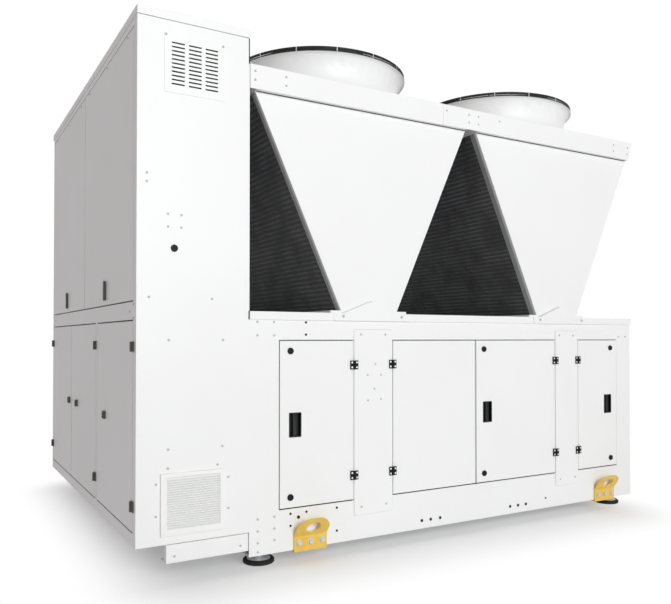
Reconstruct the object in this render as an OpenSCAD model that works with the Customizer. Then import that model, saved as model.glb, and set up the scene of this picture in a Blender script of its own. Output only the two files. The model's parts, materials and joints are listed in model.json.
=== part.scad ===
// Air cooled water chiller: a hollow plant base with doors, two V-shaped coil modules with four
// fans on top, and a tall control cabinet across the left end. Millimetres, +Z up, front towards -Y.

/* [Base frame] */
// Depth of the base and the cabinet, front to back
base_w = 2282; // [1900:1:2500]
// Width of the left corner posts of the base
corner_w = 154; // [120:1:220]
// Width of the opening for front door 1
door_1_w = 424; // [360:1:480]
// Width of the post between doors 1 and 2
post_1_w = 238; // [180:1:280]
// Width of the opening for front door 2
door_2_w = 576; // [480:1:640]
// Width of the opening for front door 3
door_3_w = 638; // [560:1:700]
// Width of the post between doors 3 and 4
post_2_w = 198; // [160:1:260]
// Width of the opening for front door 4
door_4_w = 367; // [320:1:440]
// Width of the right corner posts of the base
end_corner_w = 129; // [100:1:200]
// Height of the bottom rails
rail_h = 201; // [160:1:260]
// Height of the door openings in the base
open_h = 820; // [700:1:950]
// Height of the header rails over the doors
header_h = 129; // [100:1:180]
// Depth of rails, headers and posts
rail_d = 80; // [60:1:110]
// Sheet thickness of rails, headers and posts
rail_t = 4; // [3:0.5:8]
// Thickness of the floor sheet
floor_t = 6; // [3:0.5:12]
// Thickness of the deck sheet
deck_t = 6; // [3:0.5:12]
// Height of the deck's down-turned lip
lip_h = 39; // [25:1:60]
// How far the lip stands proud of the headers
lip_t = 8; // [4:1:14]
// Width of the beams under the deck
beam_w = 60; // [40:1:90]
// Thickness of the cover plates on the door posts
plate_t = 3; // [2:0.5:5]
// Margin of a cover plate inside its post
plate_in = 1; // [0:1:12]
// Lap of a cover plate onto the bottom rail
plate_lap_low = 78; // [40:1:120]
// Lap of a cover plate onto the header rail
plate_lap_high = 52; // [30:1:80]
// Radius of a cover plate's corners
plate_r = 10; // [4:1:20]

/* [Doors] */
// Thickness of the door panels
door_t = 30; // [20:1:40]
// Gap round a door
door_gap = 6; // [6:0.5:10]
// Distance of the hinge axis in front of the door face
hinge_out = 9; // [9:0.5:14]
// Radius of the hinge knuckles
knuckle_r = 6; // [5:0.5:9]
// Height of a hinge
hinge_h = 45; // [40:1:70]
// Width of one hinge leaf
leaf_w = 22; // [20:1:34]
// Thickness of a hinge leaf
leaf_t = 6; // [5:0.5:8]
// Distance of the front doors' hinge centres from the opening's sill and head
hinge_edge = 129; // [80:1:180]
// Distance of the end doors' hinge centres from the opening's sill and head
end_hinge_edge = 119; // [80:1:180]
// Width of a cup handle
cup_w = 66; // [50:1:80]
// Height of a cup handle
cup_h = 119; // [100:1:160]
// Depth of a cup handle in the door
cup_d = 22; // [14:1:26]
// Wall of a cup handle
cup_t = 4; // [2:0.5:6]
// Distance of the cup handle's centre from the door's free edge
cup_in = 88; // [70:1:130]
// Height of the cup handle's centre over the sill of its opening
cup_z = 405; // [300:1:500]
// Radius of a quarter-turn lock
lock_r = 15; // [12:1:20]
// How far a lock stands out
lock_out = 7; // [5:1:12]
// Width of the key slot in a lock
key_w = 4; // [3:0.5:6]
// Depth of the key slot in a lock
key_d = 3; // [2:0.5:4]
// Distance of the locks from the free edge of the front doors
lock_in = 62; // [45:1:90]
// Distance of the locks from the top and the sill of the opening
lock_edge = 55; // [40:1:90]

/* [Cabinet] */
// Length of the cabinet along the machine
cab_l = 531; // [400:1:700]
// Height of the cabinet's underside over the floor
cab_z = 180; // [150:1:240]
// Height of the cabinet under its roof, from its underside
cab_h = 2332; // [2000:1:2500]
// Thickness of the cabinet's outer panels
panel_t = 25; // [15:1:40]
// Height of the roof with its curb
roof_h = 42; // [25:1:60]
// Overhang of the roof at the back
roof_over = 45; // [0:1:45]
// Height of the curb that the roof stands on
curb_h = 4; // [2:1:10]
// Distance of the curb behind the cabinet's faces
curb_in = 12; // [6:1:20]
// Height of the sill under the end doors
sill_h = 55; // [35:1:70]
// Height of the end doors' openings
end_open_h = 939; // [800:1:1000]
// Height of the middle rail over the end doors
mid_h = 80; // [60:1:110]
// Height of the top rail under the roof
top_rail_h = 30; // [20:1:60]
// Width of the front post of the end frame
end_post_w = 52; // [40:1:80]
// Width of the back post of the end frame
back_post_w = 34; // [30:1:60]
// Width of the mullion that carries the middle door's hinges
mullion_w = 40; // [34:1:60]
// Width of the opening for the front end door
end_door_1_w = 743; // [650:1:800]
// Width of the opening for the middle end door
end_door_2_w = 715; // [620:1:800]
// Distance of the latches from the free edge of end doors 1 and 2
latch_in = 188; // [120:1:220]
// Distance of the latch from the free edge of end door 3
latch_3_in = 60; // [40:1:100]
// Size of a latch
latch_s = 38; // [30:1:50]
// How far a latch stands out
latch_out = 12; // [8:1:15]
// Wall round the latch's recess
latch_wall = 7; // [4:1:10]
// Height of an upper panel's handle
pull_h = 100; // [80:1:160]
// Width of an upper panel's handle
pull_w = 24; // [23:1:36]
// Radius of the ends of an upper panel's handle
pull_r = 11; // [6:0.5:11]
// Height of an upper panel's handle over the middle rail
pull_z = 29; // [15:1:60]
// Width of the vent cover
vent_w = 284; // [240:1:320]
// Height of the vent cover
vent_h = 266; // [220:1:300]
// Distance of the vent cover's right edge from the base
vent_right = 127; // [80:1:180]
// Top of the vent cover below the roof's underside
vent_drop = 56; // [30:1:90]
// Length of a vent slot
slot_w = 60; // [45:1:70]
// Height of a vent slot
slot_h = 7; // [5:0.5:11]
// Pitch of the vent slots in height
slot_pitch = 18.5; // [15:0.5:21]
// Pitch of the vent slot columns
slot_step = 79; // [72:1:88]
// Width of the filter grille
grille_w = 290; // [250:1:320]
// Height of the filter grille
grille_h = 274; // [240:1:300]
// Distance of the grille's right edge from the base
grille_right = 133; // [90:1:180]
// Margin of the vent's and the grille's openings in the cabinet's front
margin = 19; // [12:1:26]
// Height of the grille's lower edge over the cabinet's underside
grille_z = 40; // [20:1:80]
// How far the grille stands out
grille_out = 14; // [8:1:20]
// Margin of the louvres at the grille's left and lower edges
grille_wide = 26; // [20:1:36]
// Margin of the louvres at the grille's right and upper edges
grille_slim = 15; // [13:1:20]
// Pitch of the grille's louvres
louvre_pitch = 10.5; // [8:0.5:12]
// Thickness of a louvre
louvre_t = 3; // [2:0.5:4]
// How far the louvres stand behind the grille's face
louvre_in = 2; // [1:0.5:4]
// Length of the bearers under the cabinet
bearer_l = 393; // [300:1:480]
// Height of the bearers under the cabinet
bearer_h = 87; // [60:1:110]
// Distance of the bearers behind the front and the back
bearer_in = 8; // [0:1:30]
// Height of the packing strips on the bearers
packing_h = 5; // [2:1:12]

/* [Coil modules] */
// Gap between the cabinet and the first fan deck
cab_gap = 2; // [1:1:20]
// Gap between the two fan decks
deck_gap = 8; // [4:1:40]
// Half width of a fan deck at its top
deck_half = 688; // [640:1:780]
// Slope of the coils from upright, in degrees
v_angle = 24.6; // [20:0.1:26]
// Height of the coils over the plinth
coil_rise = 1045; // [900:1:1150]
// Thickness of a coil
coil_t = 60; // [40:1:90]
// Pitch of the coil tubes along the slope
tube_pitch = 25.4; // [20:0.1:32]
// Height of a tube's face along the slope
tube_w = 13; // [8:0.5:18]
// How far the tubes stand out of the fins
tube_out = 4; // [2:0.5:8]
// Distance of the coil modules behind the front of the base
v_in = 25; // [15:1:60]
// Thickness of a module's end panel
v_panel_t = 20; // [10:1:30]
// Width of the plates that close a coil's ends
coil_plate_w = 43; // [30:1:60]
// Width of the plates between the front and the back coils
coil_mid_w = 60; // [40:1:100]
// Width of a plinth under a module
plinth_w = 470; // [420:1:520]
// Height of a plinth
plinth_h = 14; // [12:1:40]
// Height of a foot gusset over the deck
gusset_rise = 66; // [40:1:90]
// Half width of the gusset's upper part
gusset_half = 176; // [140:1:220]
// Thickness of the gusset plate
gusset_t = 4; // [3:0.5:8]

/* [Fans] */
// Height of the fan deck's fascia
fascia_h = 117; // [80:1:150]
// How far the fan deck's ends slant in over the height of the fascia
fascia_slant = 36; // [20:1:60]
// Sheet thickness of the fan deck
fan_deck_t = 5; // [3:0.5:8]
// Distance of the joint plates' upper edge below the deck's top
joint_drop = 3; // [1:1:30]
// Length of the joint plate between the two decks
joint_l = 440; // [300:1:560]
// Length of the joint plate beside the cabinet
joint_end_l = 213; // [160:1:280]
// Radius of a fan's throat
throat_r = 465; // [400:1:500]
// How far a shroud's lip flares out of its throat
flare_w = 53; // [40:1:75]
// Width of a shroud's flange on the deck
flange_w = 30; // [20:1:40]
// Height of a shroud over the deck
shroud_h = 200; // [150:1:240]
// Wall of a shroud
shroud_t = 5; // [3:0.5:8]
// Gap between the lips of the front and the back shroud
fan_gap = 56; // [20:1:90]
// Height of the guard's outer band
band_h = 28; // [18:1:40]
// Thickness of the guard's bars
bar_t = 6; // [4:0.5:10]
// Number of rings inside the guard's band
ring_n = 7; // [4:1:10]
// Number of spokes in a guard
spoke_n = 8; // [6:2:12]
// Radius of the guard's centre plate
hub_plate_r = 110; // [90:1:140]
// Radius of the rotor's hub
hub_r = 120; // [90:1:140]
// Height of the rotor's hub
hub_h = 110; // [80:1:130]
// Radius of the motor
motor_r = 80; // [60:1:95]
// Height of the motor
motor_h = 34; // [24:1:60]
// Number of blades
blade_n = 7; // [4:1:9]
// Gap between blade tips and the throat
tip_gap = 10; // [6:1:20]
// Thickness of a blade
blade_t = 8; // [5:0.5:12]
// Chord of a blade at the hub
chord_root = 130; // [90:1:150]
// Chord of a blade at its tip
chord_tip = 235; // [180:1:260]
// Pitch angle of a blade at the hub
pitch_root = 38; // [30:1:45]
// Pitch angle of a blade at its tip
pitch_tip = 17; // [12:1:25]
// How far a blade's tip runs ahead of its root, in degrees
blade_sweep = 18; // [0:1:30]
// Camber of a blade as a share of its chord
blade_camber = 0.06; // [0:0.01:0.1]
// How deep a blade's root sits in the hub
blade_in = 12; // [6:1:20]

/* [Feet and lugs] */
// Height of the feet
foot_h = 64; // [50:1:90]
// Radius of a foot's rubber ring
foot_r = 77; // [60:1:90]
// Height of a foot's rubber ring
rubber_h = 22; // [14:1:30]
// Radius of the metal dish in a foot
dish_r = 58; // [45:1:60]
// Depth of the recess that takes the dish
dish_d = 4; // [3:1:8]
// Thickness of the dish
dish_t = 4; // [3:0.5:6]
// Radius of a foot's stud
stud_r = 16; // [12:1:24]
// Distance of the feet from the ends of the base
foot_in_x = 98; // [90:1:130]
// Distance of the feet from the front and the back
foot_in_y = 111; // [90:1:140]
// Width of a lifting lug
lug_w = 181; // [150:1:210]
// Thickness of a lifting lug
lug_t = 10; // [8:1:16]
// Height of the lug's bolted plate
lug_h = 67; // [55:1:100]
// Depth of the lug's flange under the rail
lug_foot = 60; // [30:1:75]
// Length of the lug's bent ear
ear_l = 112; // [100:1:125]
// Lean of the ear from upright, in degrees
ear_lean = 36; // [21:1:40]
// Radius of the lug's hole
lug_hole_r = 38; // [22:0.5:40]
// Distance of the hole's centre from the bend
lug_hole_up = 55; // [46:1:60]
// Radius of the ear's upper corners
ear_r = 76; // [40:1:80]
// Distance of the first lugs from the cabinet
lug_1_x = 323; // [270:1:400]
// Distance of the second lugs from the right end
lug_2_x = 262; // [220:1:340]

/* [Hidden] */
$fn = 64;
base_l = corner_w + door_1_w + post_1_w + door_2_w + door_3_w + post_2_w + door_4_w + end_corner_w;
left_out = hinge_out + knuckle_r;
v_first = cab_gap + deck_half;
v_pitch = 2 * deck_half + deck_gap;
total_l = left_out + cab_l + v_first + v_pitch + deck_half;
x_cab = -total_l / 2 + left_out;
x_base = x_cab + cab_l;
x_end = x_base + base_l;
y_f = -base_w / 2;
z_bot = foot_h;
z_sill = z_bot + rail_h;
z_head = z_sill + open_h;
z_deck = z_head + header_h + deck_t;
x_door_1 = x_base + corner_w;
x_post_1 = x_door_1 + door_1_w;
x_door_2 = x_post_1 + post_1_w;
x_door_3 = x_door_2 + door_2_w;
x_post_2 = x_door_3 + door_3_w;
x_door_4 = x_post_2 + post_2_w;
x_corner = x_door_4 + door_4_w;
cup_hole = [cup_w, cup_d, cup_h];
// One leaf pair has three knuckles: the middle one belongs to the fixed leaf
knuckle_h = hinge_h / 3;
knuckle_gap = 0.5;
leaf_start = knuckle_r + 1;
// Front doors as [hinge side's x, direction towards the free edge, opening's width, has a handle]
front_doors = [
    [x_post_1, -1, door_1_w, true],
    [x_door_2, 1, door_2_w, false],
    [x_post_2, -1, door_3_w, true],
    [x_door_4, 1, door_4_w, true]
];

z_roof = cab_z + cab_h;
z_end_sill = cab_z + sill_h;
z_mid = z_end_sill + end_open_h;
z_upper = z_mid + mid_h;
y_end_1 = y_f + end_post_w;
y_mullion = y_end_1 + end_door_1_w;
y_end_2 = y_mullion + mullion_w;
y_end_3 = y_end_2 + end_door_2_w;
y_back_post = -y_f - back_post_w;
end_door_3_w = y_back_post - y_end_3;
// End doors as [hinge side's y, direction towards the free edge, opening's width, latch's distance]
end_doors = [
    [y_end_1, 1, end_door_1_w, latch_in],
    [y_end_2, 1, end_door_2_w, latch_in],
    [y_back_post, -1, end_door_3_w, latch_3_in]
];
y_split = (y_end_1 + y_back_post) / 2;
// The upper panels have a rebate half as deep as they are thick
rebate = panel_t / 2;
z_vent = z_roof - vent_drop - vent_h;
x_vent = x_base - vent_right - vent_w;
vent_rows = floor((vent_h - 2 * slot_h) / slot_pitch) - 2;
x_grille = x_base - grille_right - grille_w;
z_grille = cab_z + grille_z;
louvre_n = floor((grille_h - grille_wide - grille_slim) / louvre_pitch);

v_x = [x_base + v_first, x_base + v_first + v_pitch];
z_coil = z_deck + plinth_h;
z_fascia = z_coil + coil_rise;
z_top = z_fascia + fascia_h;
v_tan = tan(v_angle);
v_half = deck_half - fascia_slant;
deck_tan = fascia_slant / fascia_h;
coil_l = coil_rise / cos(v_angle);
coil_in = fan_deck_t / cos(v_angle) + tube_out;
tube_n = floor((coil_l - tube_pitch) / tube_pitch);
y_v = y_f + v_in;
y_coil = y_v + v_panel_t + coil_plate_w;
z_lip = z_top + shroud_h;
z_guard = z_lip + band_h;
lip_r = throat_r + flare_w;
flare_n = 8;
fan_y = -lip_r - fan_gap / 2;
blade_stations = 6;
blade_points = 5;
blade_root_r = hub_r - blade_in;
blade_tip_r = throat_r - tip_gap;
// The bottom end rails reach over the studs of the feet
end_rail_w = foot_in_x + 2 * stud_r;
// Chamfers of a foot's rubber ring, at its sole and at its rim
sole_edge = 4;
rim_edge = 7;
z_dish = rubber_h - dish_d;

// Centre of the ear's round corner, whose arc meets the side and the top at a slight angle
ear_off = 1;
ear_corner = [lug_w / 2 - ear_r + ear_off, ear_l - ear_r + ear_off];
// Where the back of a lug's ear ends in the lug's profile
ear_end = [-ear_l * sin(ear_lean), lug_h + ear_l * cos(ear_lean)];

function half_at(z) = v_half - (z_fascia - z) * v_tan;

// A box between two corners, each given as a pair of limits
module slab(x, y, z) translate([x[0], y[0], z[0]]) cube([x[1] - x[0], y[1] - y[0], z[1] - z[0]]);

module front_and_back() {
    children();
    mirror([0, 1, 0]) children();
}

// A rectangle from the origin with round corners
module round_rectangle(w, h, r) {
    translate([r, 0]) square([w - 2 * r, h]);
    translate([0, r]) square([w, h - 2 * r]);
    for (x = [r, w - r], y = [r, h - r]) translate([x, y]) circle(r = r);
}

// A U section with its web along the first side and its mouth towards +Y
module u_section(w, d, t) {
    difference() {
        square([w, d]);
        translate([t, t]) square([w - 2 * t, d]);
    }
}

// A channel along X, with its web towards -Y
module channel_x(x, z, h) {
    translate([x[0], y_f, z + h]) rotate([0, 90, 0]) linear_extrude(x[1] - x[0]) u_section(h, rail_d, rail_t);
}

// A channel along Y between the front and back rails, with its web towards -X
module channel_y(x, z, h, w) {
    translate([x, y_f + rail_d, z + h]) rotate([-90, 0, 0])
        linear_extrude(base_w - 2 * rail_d) translate([0, h]) rotate(-90) u_section(h, w, rail_t);
}

// A post that stands between a bottom rail and its header
module post(x, w) {
    translate([x, y_f, z_sill]) linear_extrude(open_h) u_section(w, rail_d, rail_t);
}

module bottom_rails() color("white") front_and_back() channel_x([x_base, x_end], z_bot, rail_h);

module bottom_end_rails() color("white") {
    channel_y(x_base, z_bot, rail_h, end_rail_w);
    translate([2 * x_end, 0, 0]) mirror([1, 0, 0]) channel_y(x_end, z_bot, rail_h, end_rail_w);
}

module base_floor() color("gainsboro") slab(
    [x_base + rail_t, x_end - rail_t], [y_f + rail_t, -y_f - rail_t],
    [z_bot + rail_t, z_bot + rail_t + floor_t]
);

module corner_posts() color("white") front_and_back() {
    post(x_base, corner_w);
    post(x_corner, end_corner_w);
}

module door_posts() color("white") front_and_back() {
    post(x_post_1, post_1_w);
    post(x_post_2, post_2_w);
}

module post_plate(x, w) translate([x + plate_in, y_f, z_sill - plate_lap_low]) rotate([90, 0, 0])
    linear_extrude(plate_t)
        round_rectangle(w - 2 * plate_in, open_h + plate_lap_low + plate_lap_high, plate_r);

module post_plates() color("white") front_and_back() {
    post_plate(x_post_1, post_1_w);
    post_plate(x_post_2, post_2_w);
}

module header_rails() color("white") front_and_back() channel_x([x_base, x_end], z_head, header_h);

module deck_beams() color("white") {
    channel_y(x_base, z_head, header_h, beam_w);
    for (x = v_x, side = [-1, 1])
        channel_y(x + side * plinth_w / 2 - beam_w / 2, z_head, header_h, beam_w);
    channel_y(x_end - beam_w, z_head, header_h, beam_w);
}

module base_deck() color("white") {
    slab([x_base, x_end + lip_t], [y_f - lip_t, lip_t - y_f], [z_deck - deck_t, z_deck]);
    front_and_back() slab([x_base, x_end + lip_t], [y_f - lip_t, y_f], [z_deck - lip_h, z_deck]);
    slab([x_end, x_end + lip_t], [y_f - lip_t, lip_t - y_f], [z_deck - lip_h, z_deck]);
}

// The right end is one sheet over the ends of the rails, folded back round its middle
module end_panel() color("white") {
    slab([x_end, x_end + plate_t], [y_f, -y_f], [z_bot, z_deck - lip_h]);
    slab([x_end - door_t, x_end], [y_f + rail_d, -y_f - rail_d], [z_sill, z_head]);
}

// Local frame of a door: the hinge axis is Z, +X runs to the free edge and +Y into the machine
module at_front_door(i) {
    d = front_doors[i];
    translate([d[0], y_f - hinge_out, 0]) mirror([d[1] < 0 ? 1 : 0, 0, 0]) children();
}

module at_end_door(i) {
    d = end_doors[i];
    translate([x_cab - hinge_out, d[0], 0])
        if (d[1] > 0) mirror([1, 0, 0]) rotate(90) children();
        else rotate(-90) children();
}

module knuckles(zs) {
    for (z = zs) translate([0, 0, z + knuckle_gap / 2]) cylinder(r = knuckle_r, h = knuckle_h - knuckle_gap);
}

module fixed_leaf(lift) {
    y = [hinge_out - lift - leaf_t, hinge_out - lift];
    slab([-leaf_w, -leaf_start], y, [-hinge_h / 2, hinge_h / 2]);
    slab([-leaf_w, 0], y, [-knuckle_h / 2 + knuckle_gap / 2, knuckle_h / 2 - knuckle_gap / 2]);
    knuckles([-knuckle_h / 2]);
}

module moving_leaf(lift) {
    y = [hinge_out - lift - leaf_t, hinge_out];
    slab([leaf_start, leaf_w], y, [-hinge_h / 2, hinge_h / 2]);
    for (z = [-hinge_h / 2, knuckle_h / 2])
        slab([0, leaf_w], y, [z + knuckle_gap / 2, z + knuckle_h - knuckle_gap / 2]);
    knuckles([-hinge_h / 2, knuckle_h / 2]);
}

module at_heights(zs) for (z = zs) translate([0, 0, z]) children();

module front_hinges() at_heights([z_sill + hinge_edge, z_head - hinge_edge]) children();

module end_hinges() at_heights([z_end_sill + end_hinge_edge, z_mid - end_hinge_edge]) children();

module hinge_leaves() color("dimgray") {
    for (i = [0:len(front_doors) - 1]) at_front_door(i) front_hinges() fixed_leaf(plate_t);
    for (i = [0:len(end_doors) - 1]) at_end_door(i) end_hinges() fixed_leaf(0);
}

module door_panel(w, z_low, z_high)
    slab([door_gap, w - door_gap], [hinge_out, hinge_out + door_t], [z_low + door_gap, z_high - door_gap]);

module cup_place(w) translate([w - cup_in - cup_w / 2, hinge_out, z_sill + cup_z - cup_h / 2]) children();

module front_door(i) color("white") at_front_door(i) difference() {
    w = front_doors[i][2];
    door_panel(w, z_sill, z_head);
    if (front_doors[i][3]) cup_place(w) cube(cup_hole);
}

module cup_handle(w) cup_place(w) difference() {
    cube(cup_hole);
    translate([cup_t, -cup_t, cup_t]) cube([cup_w - 2 * cup_t, cup_d, cup_h - 2 * cup_t]);
}

module lock(x, z) translate([x, hinge_out, z]) rotate([90, 0, 0]) difference() {
    cylinder(r = lock_r, h = lock_out);
    translate([-lock_r / 2, -key_w / 2, lock_out - key_d]) cube([lock_r, key_w, lock_out]);
}

module front_door_fittings(i) color("black") at_front_door(i) {
    w = front_doors[i][2];
    front_hinges() moving_leaf(plate_t);
    if (front_doors[i][3]) {
        cup_handle(w);
        for (z = [z_sill + lock_edge, z_head - lock_edge]) lock(w - lock_in, z);
    }
}

// The back has the same doors, fixed shut
module back_doors() color("white") mirror([0, 1, 0]) for (i = [0:len(front_doors) - 1]) front_door(i);

module back_door_fittings() color("black") mirror([0, 1, 0]) for (i = [0:len(front_doors) - 1]) {
    front_door_fittings(i);
    at_front_door(i) front_hinges() fixed_leaf(plate_t);
}

module end_door(i) color("white") at_end_door(i) door_panel(end_doors[i][2], z_end_sill, z_mid);

// A square latch block with a recess for the thumb
module latch(x, z) translate([x - latch_s / 2, hinge_out - latch_out, z - latch_s / 2]) difference() {
    cube([latch_s, latch_out, latch_s]);
    translate([latch_wall, -latch_wall, latch_wall])
        cube([latch_s - 2 * latch_wall, latch_out, latch_s - 2 * latch_wall]);
}

module end_door_fittings(i) color("black") at_end_door(i) {
    end_hinges() moving_leaf(0);
    latch(end_doors[i][2] - end_doors[i][3], (z_end_sill + z_mid) / 2);
}

module cabinet_front() color("white") difference() {
    slab([x_cab, x_base], [y_f, y_f + panel_t], [cab_z, z_roof]);
    slab([x_vent + margin, x_vent + vent_w - margin], [y_f - 1, y_f + panel_t + 1],
        [z_vent + margin, z_vent + vent_h - margin]);
    slab([x_grille + margin, x_grille + grille_w - margin], [y_f - 1, y_f + panel_t + 1],
        [z_grille + margin, z_grille + grille_h - margin]);
}

module cabinet_back() color("white")
    slab([x_cab, x_base], [-y_f - panel_t, -y_f], [cab_z, z_roof]);

module cabinet_inner_wall() color("white")
    slab([x_base - panel_t, x_base], [y_f + panel_t, -y_f - panel_t], [cab_z, z_roof]);

module cabinet_floors() color("gainsboro") {
    x = [x_cab + panel_t, x_base - panel_t];
    y = [y_f + panel_t, -y_f - panel_t];
    slab(x, y, [cab_z, cab_z + panel_t]);
    slab(x, y, [z_upper - panel_t, z_upper]);
}

module cabinet_roof() color("white") {
    slab([x_cab + curb_in, x_base - curb_in], [y_f + curb_in, -y_f - curb_in], [z_roof, z_roof + curb_h]);
    slab([x_cab, x_base], [y_f, roof_over - y_f], [z_roof + curb_h, z_roof + roof_h]);
}

module end_frame() color("white") {
    x = [x_cab, x_cab + panel_t];
    y = [y_f + panel_t, -y_f - panel_t];
    slab(x, [y[0], y_end_1], [cab_z, z_roof]);
    slab(x, [y_back_post, y[1]], [cab_z, z_roof]);
    slab(x, y, [cab_z, z_end_sill]);
    slab(x, y, [z_mid, z_upper]);
    slab(x, y, [z_roof - top_rail_h, z_roof]);
    slab(x, [y_mullion, y_end_2], [cab_z, z_upper]);
}

// An upper panel fills its place with its inner half, and its outer half stops short for the gap round it
module upper_panel(y) {
    z = [z_upper, z_roof - top_rail_h];
    slab([x_cab + rebate, x_cab + panel_t], y, z);
    slab([x_cab, x_cab + rebate], [y[0] + door_gap, y[1] - door_gap], [z[0] + door_gap, z[1] - door_gap]);
}

module upper_panels() color("white") {
    upper_panel([y_end_1, y_split - knuckle_gap]);
    upper_panel([y_split + knuckle_gap, y_back_post]);
}

module upper_panel_handles() color("black")
    for (y = [(y_end_1 + y_split) / 2, (y_split + y_back_post) / 2])
        translate([x_cab, y + pull_w / 2, z_upper + pull_z]) rotate([90, 0, -90])
            linear_extrude(latch_out) round_rectangle(pull_w, pull_h, pull_r);

module vent_cover() color("white") difference() {
    slab([x_vent, x_vent + vent_w], [y_f - plate_t, y_f], [z_vent, z_vent + vent_h]);
    for (i = [-1:1], k = [0:vent_rows - 1])
        translate([x_vent + vent_w / 2 + i * slot_step - slot_w / 2, y_f - plate_t - 1,
            z_vent + vent_h / 2 + (k - (vent_rows - 1) / 2) * slot_pitch - slot_h / 2])
            cube([slot_w, plate_t + 2, slot_h]);
}

// Section of a louvre, which slopes down to the front and laps over the next one
module louvre() polygon([
    [louvre_in - grille_out, 0], [0, louvre_pitch],
    [0, louvre_pitch + louvre_t], [louvre_in - grille_out, louvre_t]
]);

module filter_grille() color("whitesmoke") {
    x = [x_grille, x_grille + grille_w];
    z = [z_grille, z_grille + grille_h];
    difference() {
        slab(x, [y_f - grille_out, y_f], z);
        slab([x[0] + grille_wide, x[1] - grille_slim], [y_f - grille_out - 1, y_f + 1],
            [z[0] + grille_wide, z[0] + grille_wide + louvre_n * louvre_pitch]);
    }
    for (k = [0:louvre_n - 1])
        translate([x[0] + grille_wide - louvre_in, y_f, z[0] + grille_wide + k * louvre_pitch - louvre_t / 2])
            rotate([90, 0, 90]) linear_extrude(grille_w - grille_wide - grille_slim + 2 * louvre_in) louvre();
}

// A bearer is a channel with a packing strip between it and the cabinet
module cabinet_bearers() color("white") front_and_back() translate([0, bearer_in, 0]) {
    x = [x_base - bearer_l, x_base];
    channel_x(x, cab_z - bearer_h, bearer_h - packing_h);
    slab(x, [y_f + rail_d / 2, y_f + rail_d], [cab_z - packing_h, cab_z]);
}

// Section of a coil: a flat slab with a row of tubes along its outer face
module coil_section() {
    tubes = [
        for (k = [0:tube_n - 1])
            let (s = tube_pitch * (k + 1))
            each [
                [0, s - tube_w / 2], [-tube_out, s - tube_w / 4],
                [-tube_out, s + tube_w / 4], [0, s + tube_w / 2]
            ]
    ];
    polygon(concat([[0, 0]], tubes, [[0, coil_l], [coil_t, coil_l], [coil_t, 0]]));
}

module coil(y_low, y_high) {
    translate([-half_at(z_coil) + coil_in, y_high, z_coil]) rotate([90, 0, 0])
        linear_extrude(y_high - y_low) rotate(v_angle) coil_section();
}

// A plate that closes a coil's end and follows its slope
module coil_plate(y_low, y_high) {
    translate([-half_at(z_coil) + coil_in, y_high, z_coil]) rotate([90, 0, 0])
        linear_extrude(y_high - y_low) rotate(v_angle) square([coil_t, coil_l]);
}

module coil_bank(i) color("#1c1d1f") translate([v_x[i], 0, 0]) for (side = [0, 1]) mirror([side, 0, 0]) {
    front_and_back() coil(y_coil, -coil_mid_w / 2);
    coil_plate(-coil_mid_w / 2, coil_mid_w / 2);
}

module coil_end_plates() color("silver") for (x = v_x) translate([x, 0, 0]) for (side = [0, 1])
    mirror([side, 0, 0]) front_and_back() coil_plate(y_coil - coil_plate_w, y_coil);

module v_end_panels() color("white") for (x = v_x) translate([x, 0, 0]) front_and_back()
    translate([0, y_v + v_panel_t, 0]) rotate([90, 0, 0]) linear_extrude(v_panel_t) polygon([
        [-half_at(z_coil), z_coil], [half_at(z_coil), z_coil], [v_half, z_fascia], [-v_half, z_fascia]
    ]);

module v_plinths() color("white") for (x = v_x)
    slab([x - plinth_w / 2, x + plinth_w / 2], [y_v, -y_v], [z_deck, z_coil]);

// A gusset plate in front of the lip, with a folded house that reaches back to the end panel
module foot_gussets() color("white") for (x = v_x) translate([x, 0, 0]) front_and_back() {
    slab([-plinth_w / 2, plinth_w / 2], [y_f - lip_t - gusset_t, y_f - lip_t], [z_deck - lip_h, z_deck]);
    translate([0, y_v, 0]) rotate([90, 0, 0]) linear_extrude(v_in + lip_t + gusset_t)
        polygon([[-gusset_half, z_deck], [gusset_half, z_deck], [0, z_deck + gusset_rise]]);
}

module deck_profile(t) polygon([
    [t - v_half, z_fascia], [v_half - t, z_fascia],
    [deck_half - t - t * deck_tan, z_top - t], [t + t * deck_tan - deck_half, z_top - t]
]);

// The fan deck is a pan with slanted ends, open below and pierced by two throats; its front and back
// turn in over the end panels
module fan_deck(i) color("white") translate([v_x[i], 0, 0]) {
    difference() {
        translate([0, -y_f, 0]) rotate([90, 0, 0]) linear_extrude(base_w) deck_profile(0);
        translate([0, -y_f - fan_deck_t, 0]) rotate([90, 0, 0]) linear_extrude(base_w - 2 * fan_deck_t)
            deck_profile(fan_deck_t);
        for (y = [fan_y, -fan_y]) translate([0, y, z_top - 2 * fan_deck_t])
            cylinder(r = throat_r, h = 3 * fan_deck_t);
    }
    front_and_back() slab([-v_half, v_half], [y_f, y_v + v_panel_t], [z_fascia, z_fascia + fan_deck_t]);
}

module joint_plate(x) slab(x, [y_f - plate_t, y_f], [z_fascia, z_top - joint_drop]);

module deck_joint_plates() color("white") front_and_back() {
    x_joint = (v_x[0] + v_x[1]) / 2;
    joint_plate([x_base + cab_gap, x_base + joint_end_l]);
    joint_plate([x_joint - joint_l / 2, x_joint + joint_l / 2]);
}

module at_fans() for (x = v_x, y = [fan_y, -fan_y]) translate([x, y, 0]) children();

// Half section of a shroud: a flat flange, a straight throat and a flared lip
module shroud_section() {
    straight = shroud_h / 2;
    flare_rise = shroud_h - straight;
    flare = [for (k = [0:flare_n]) let (a = 90 * k / flare_n)
        [throat_r + (lip_r - shroud_t - throat_r) * (1 - cos(a)), z_top + straight + flare_rise * sin(a)]];
    outer = [for (k = [flare_n:-1:0]) flare[k] + [shroud_t, 0]];
    polygon(concat(
        [[throat_r, z_top]], flare, outer,
        [[throat_r + shroud_t, z_top + shroud_t], [throat_r + flange_w, z_top + shroud_t],
        [throat_r + flange_w, z_top]]
    ));
}

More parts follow.
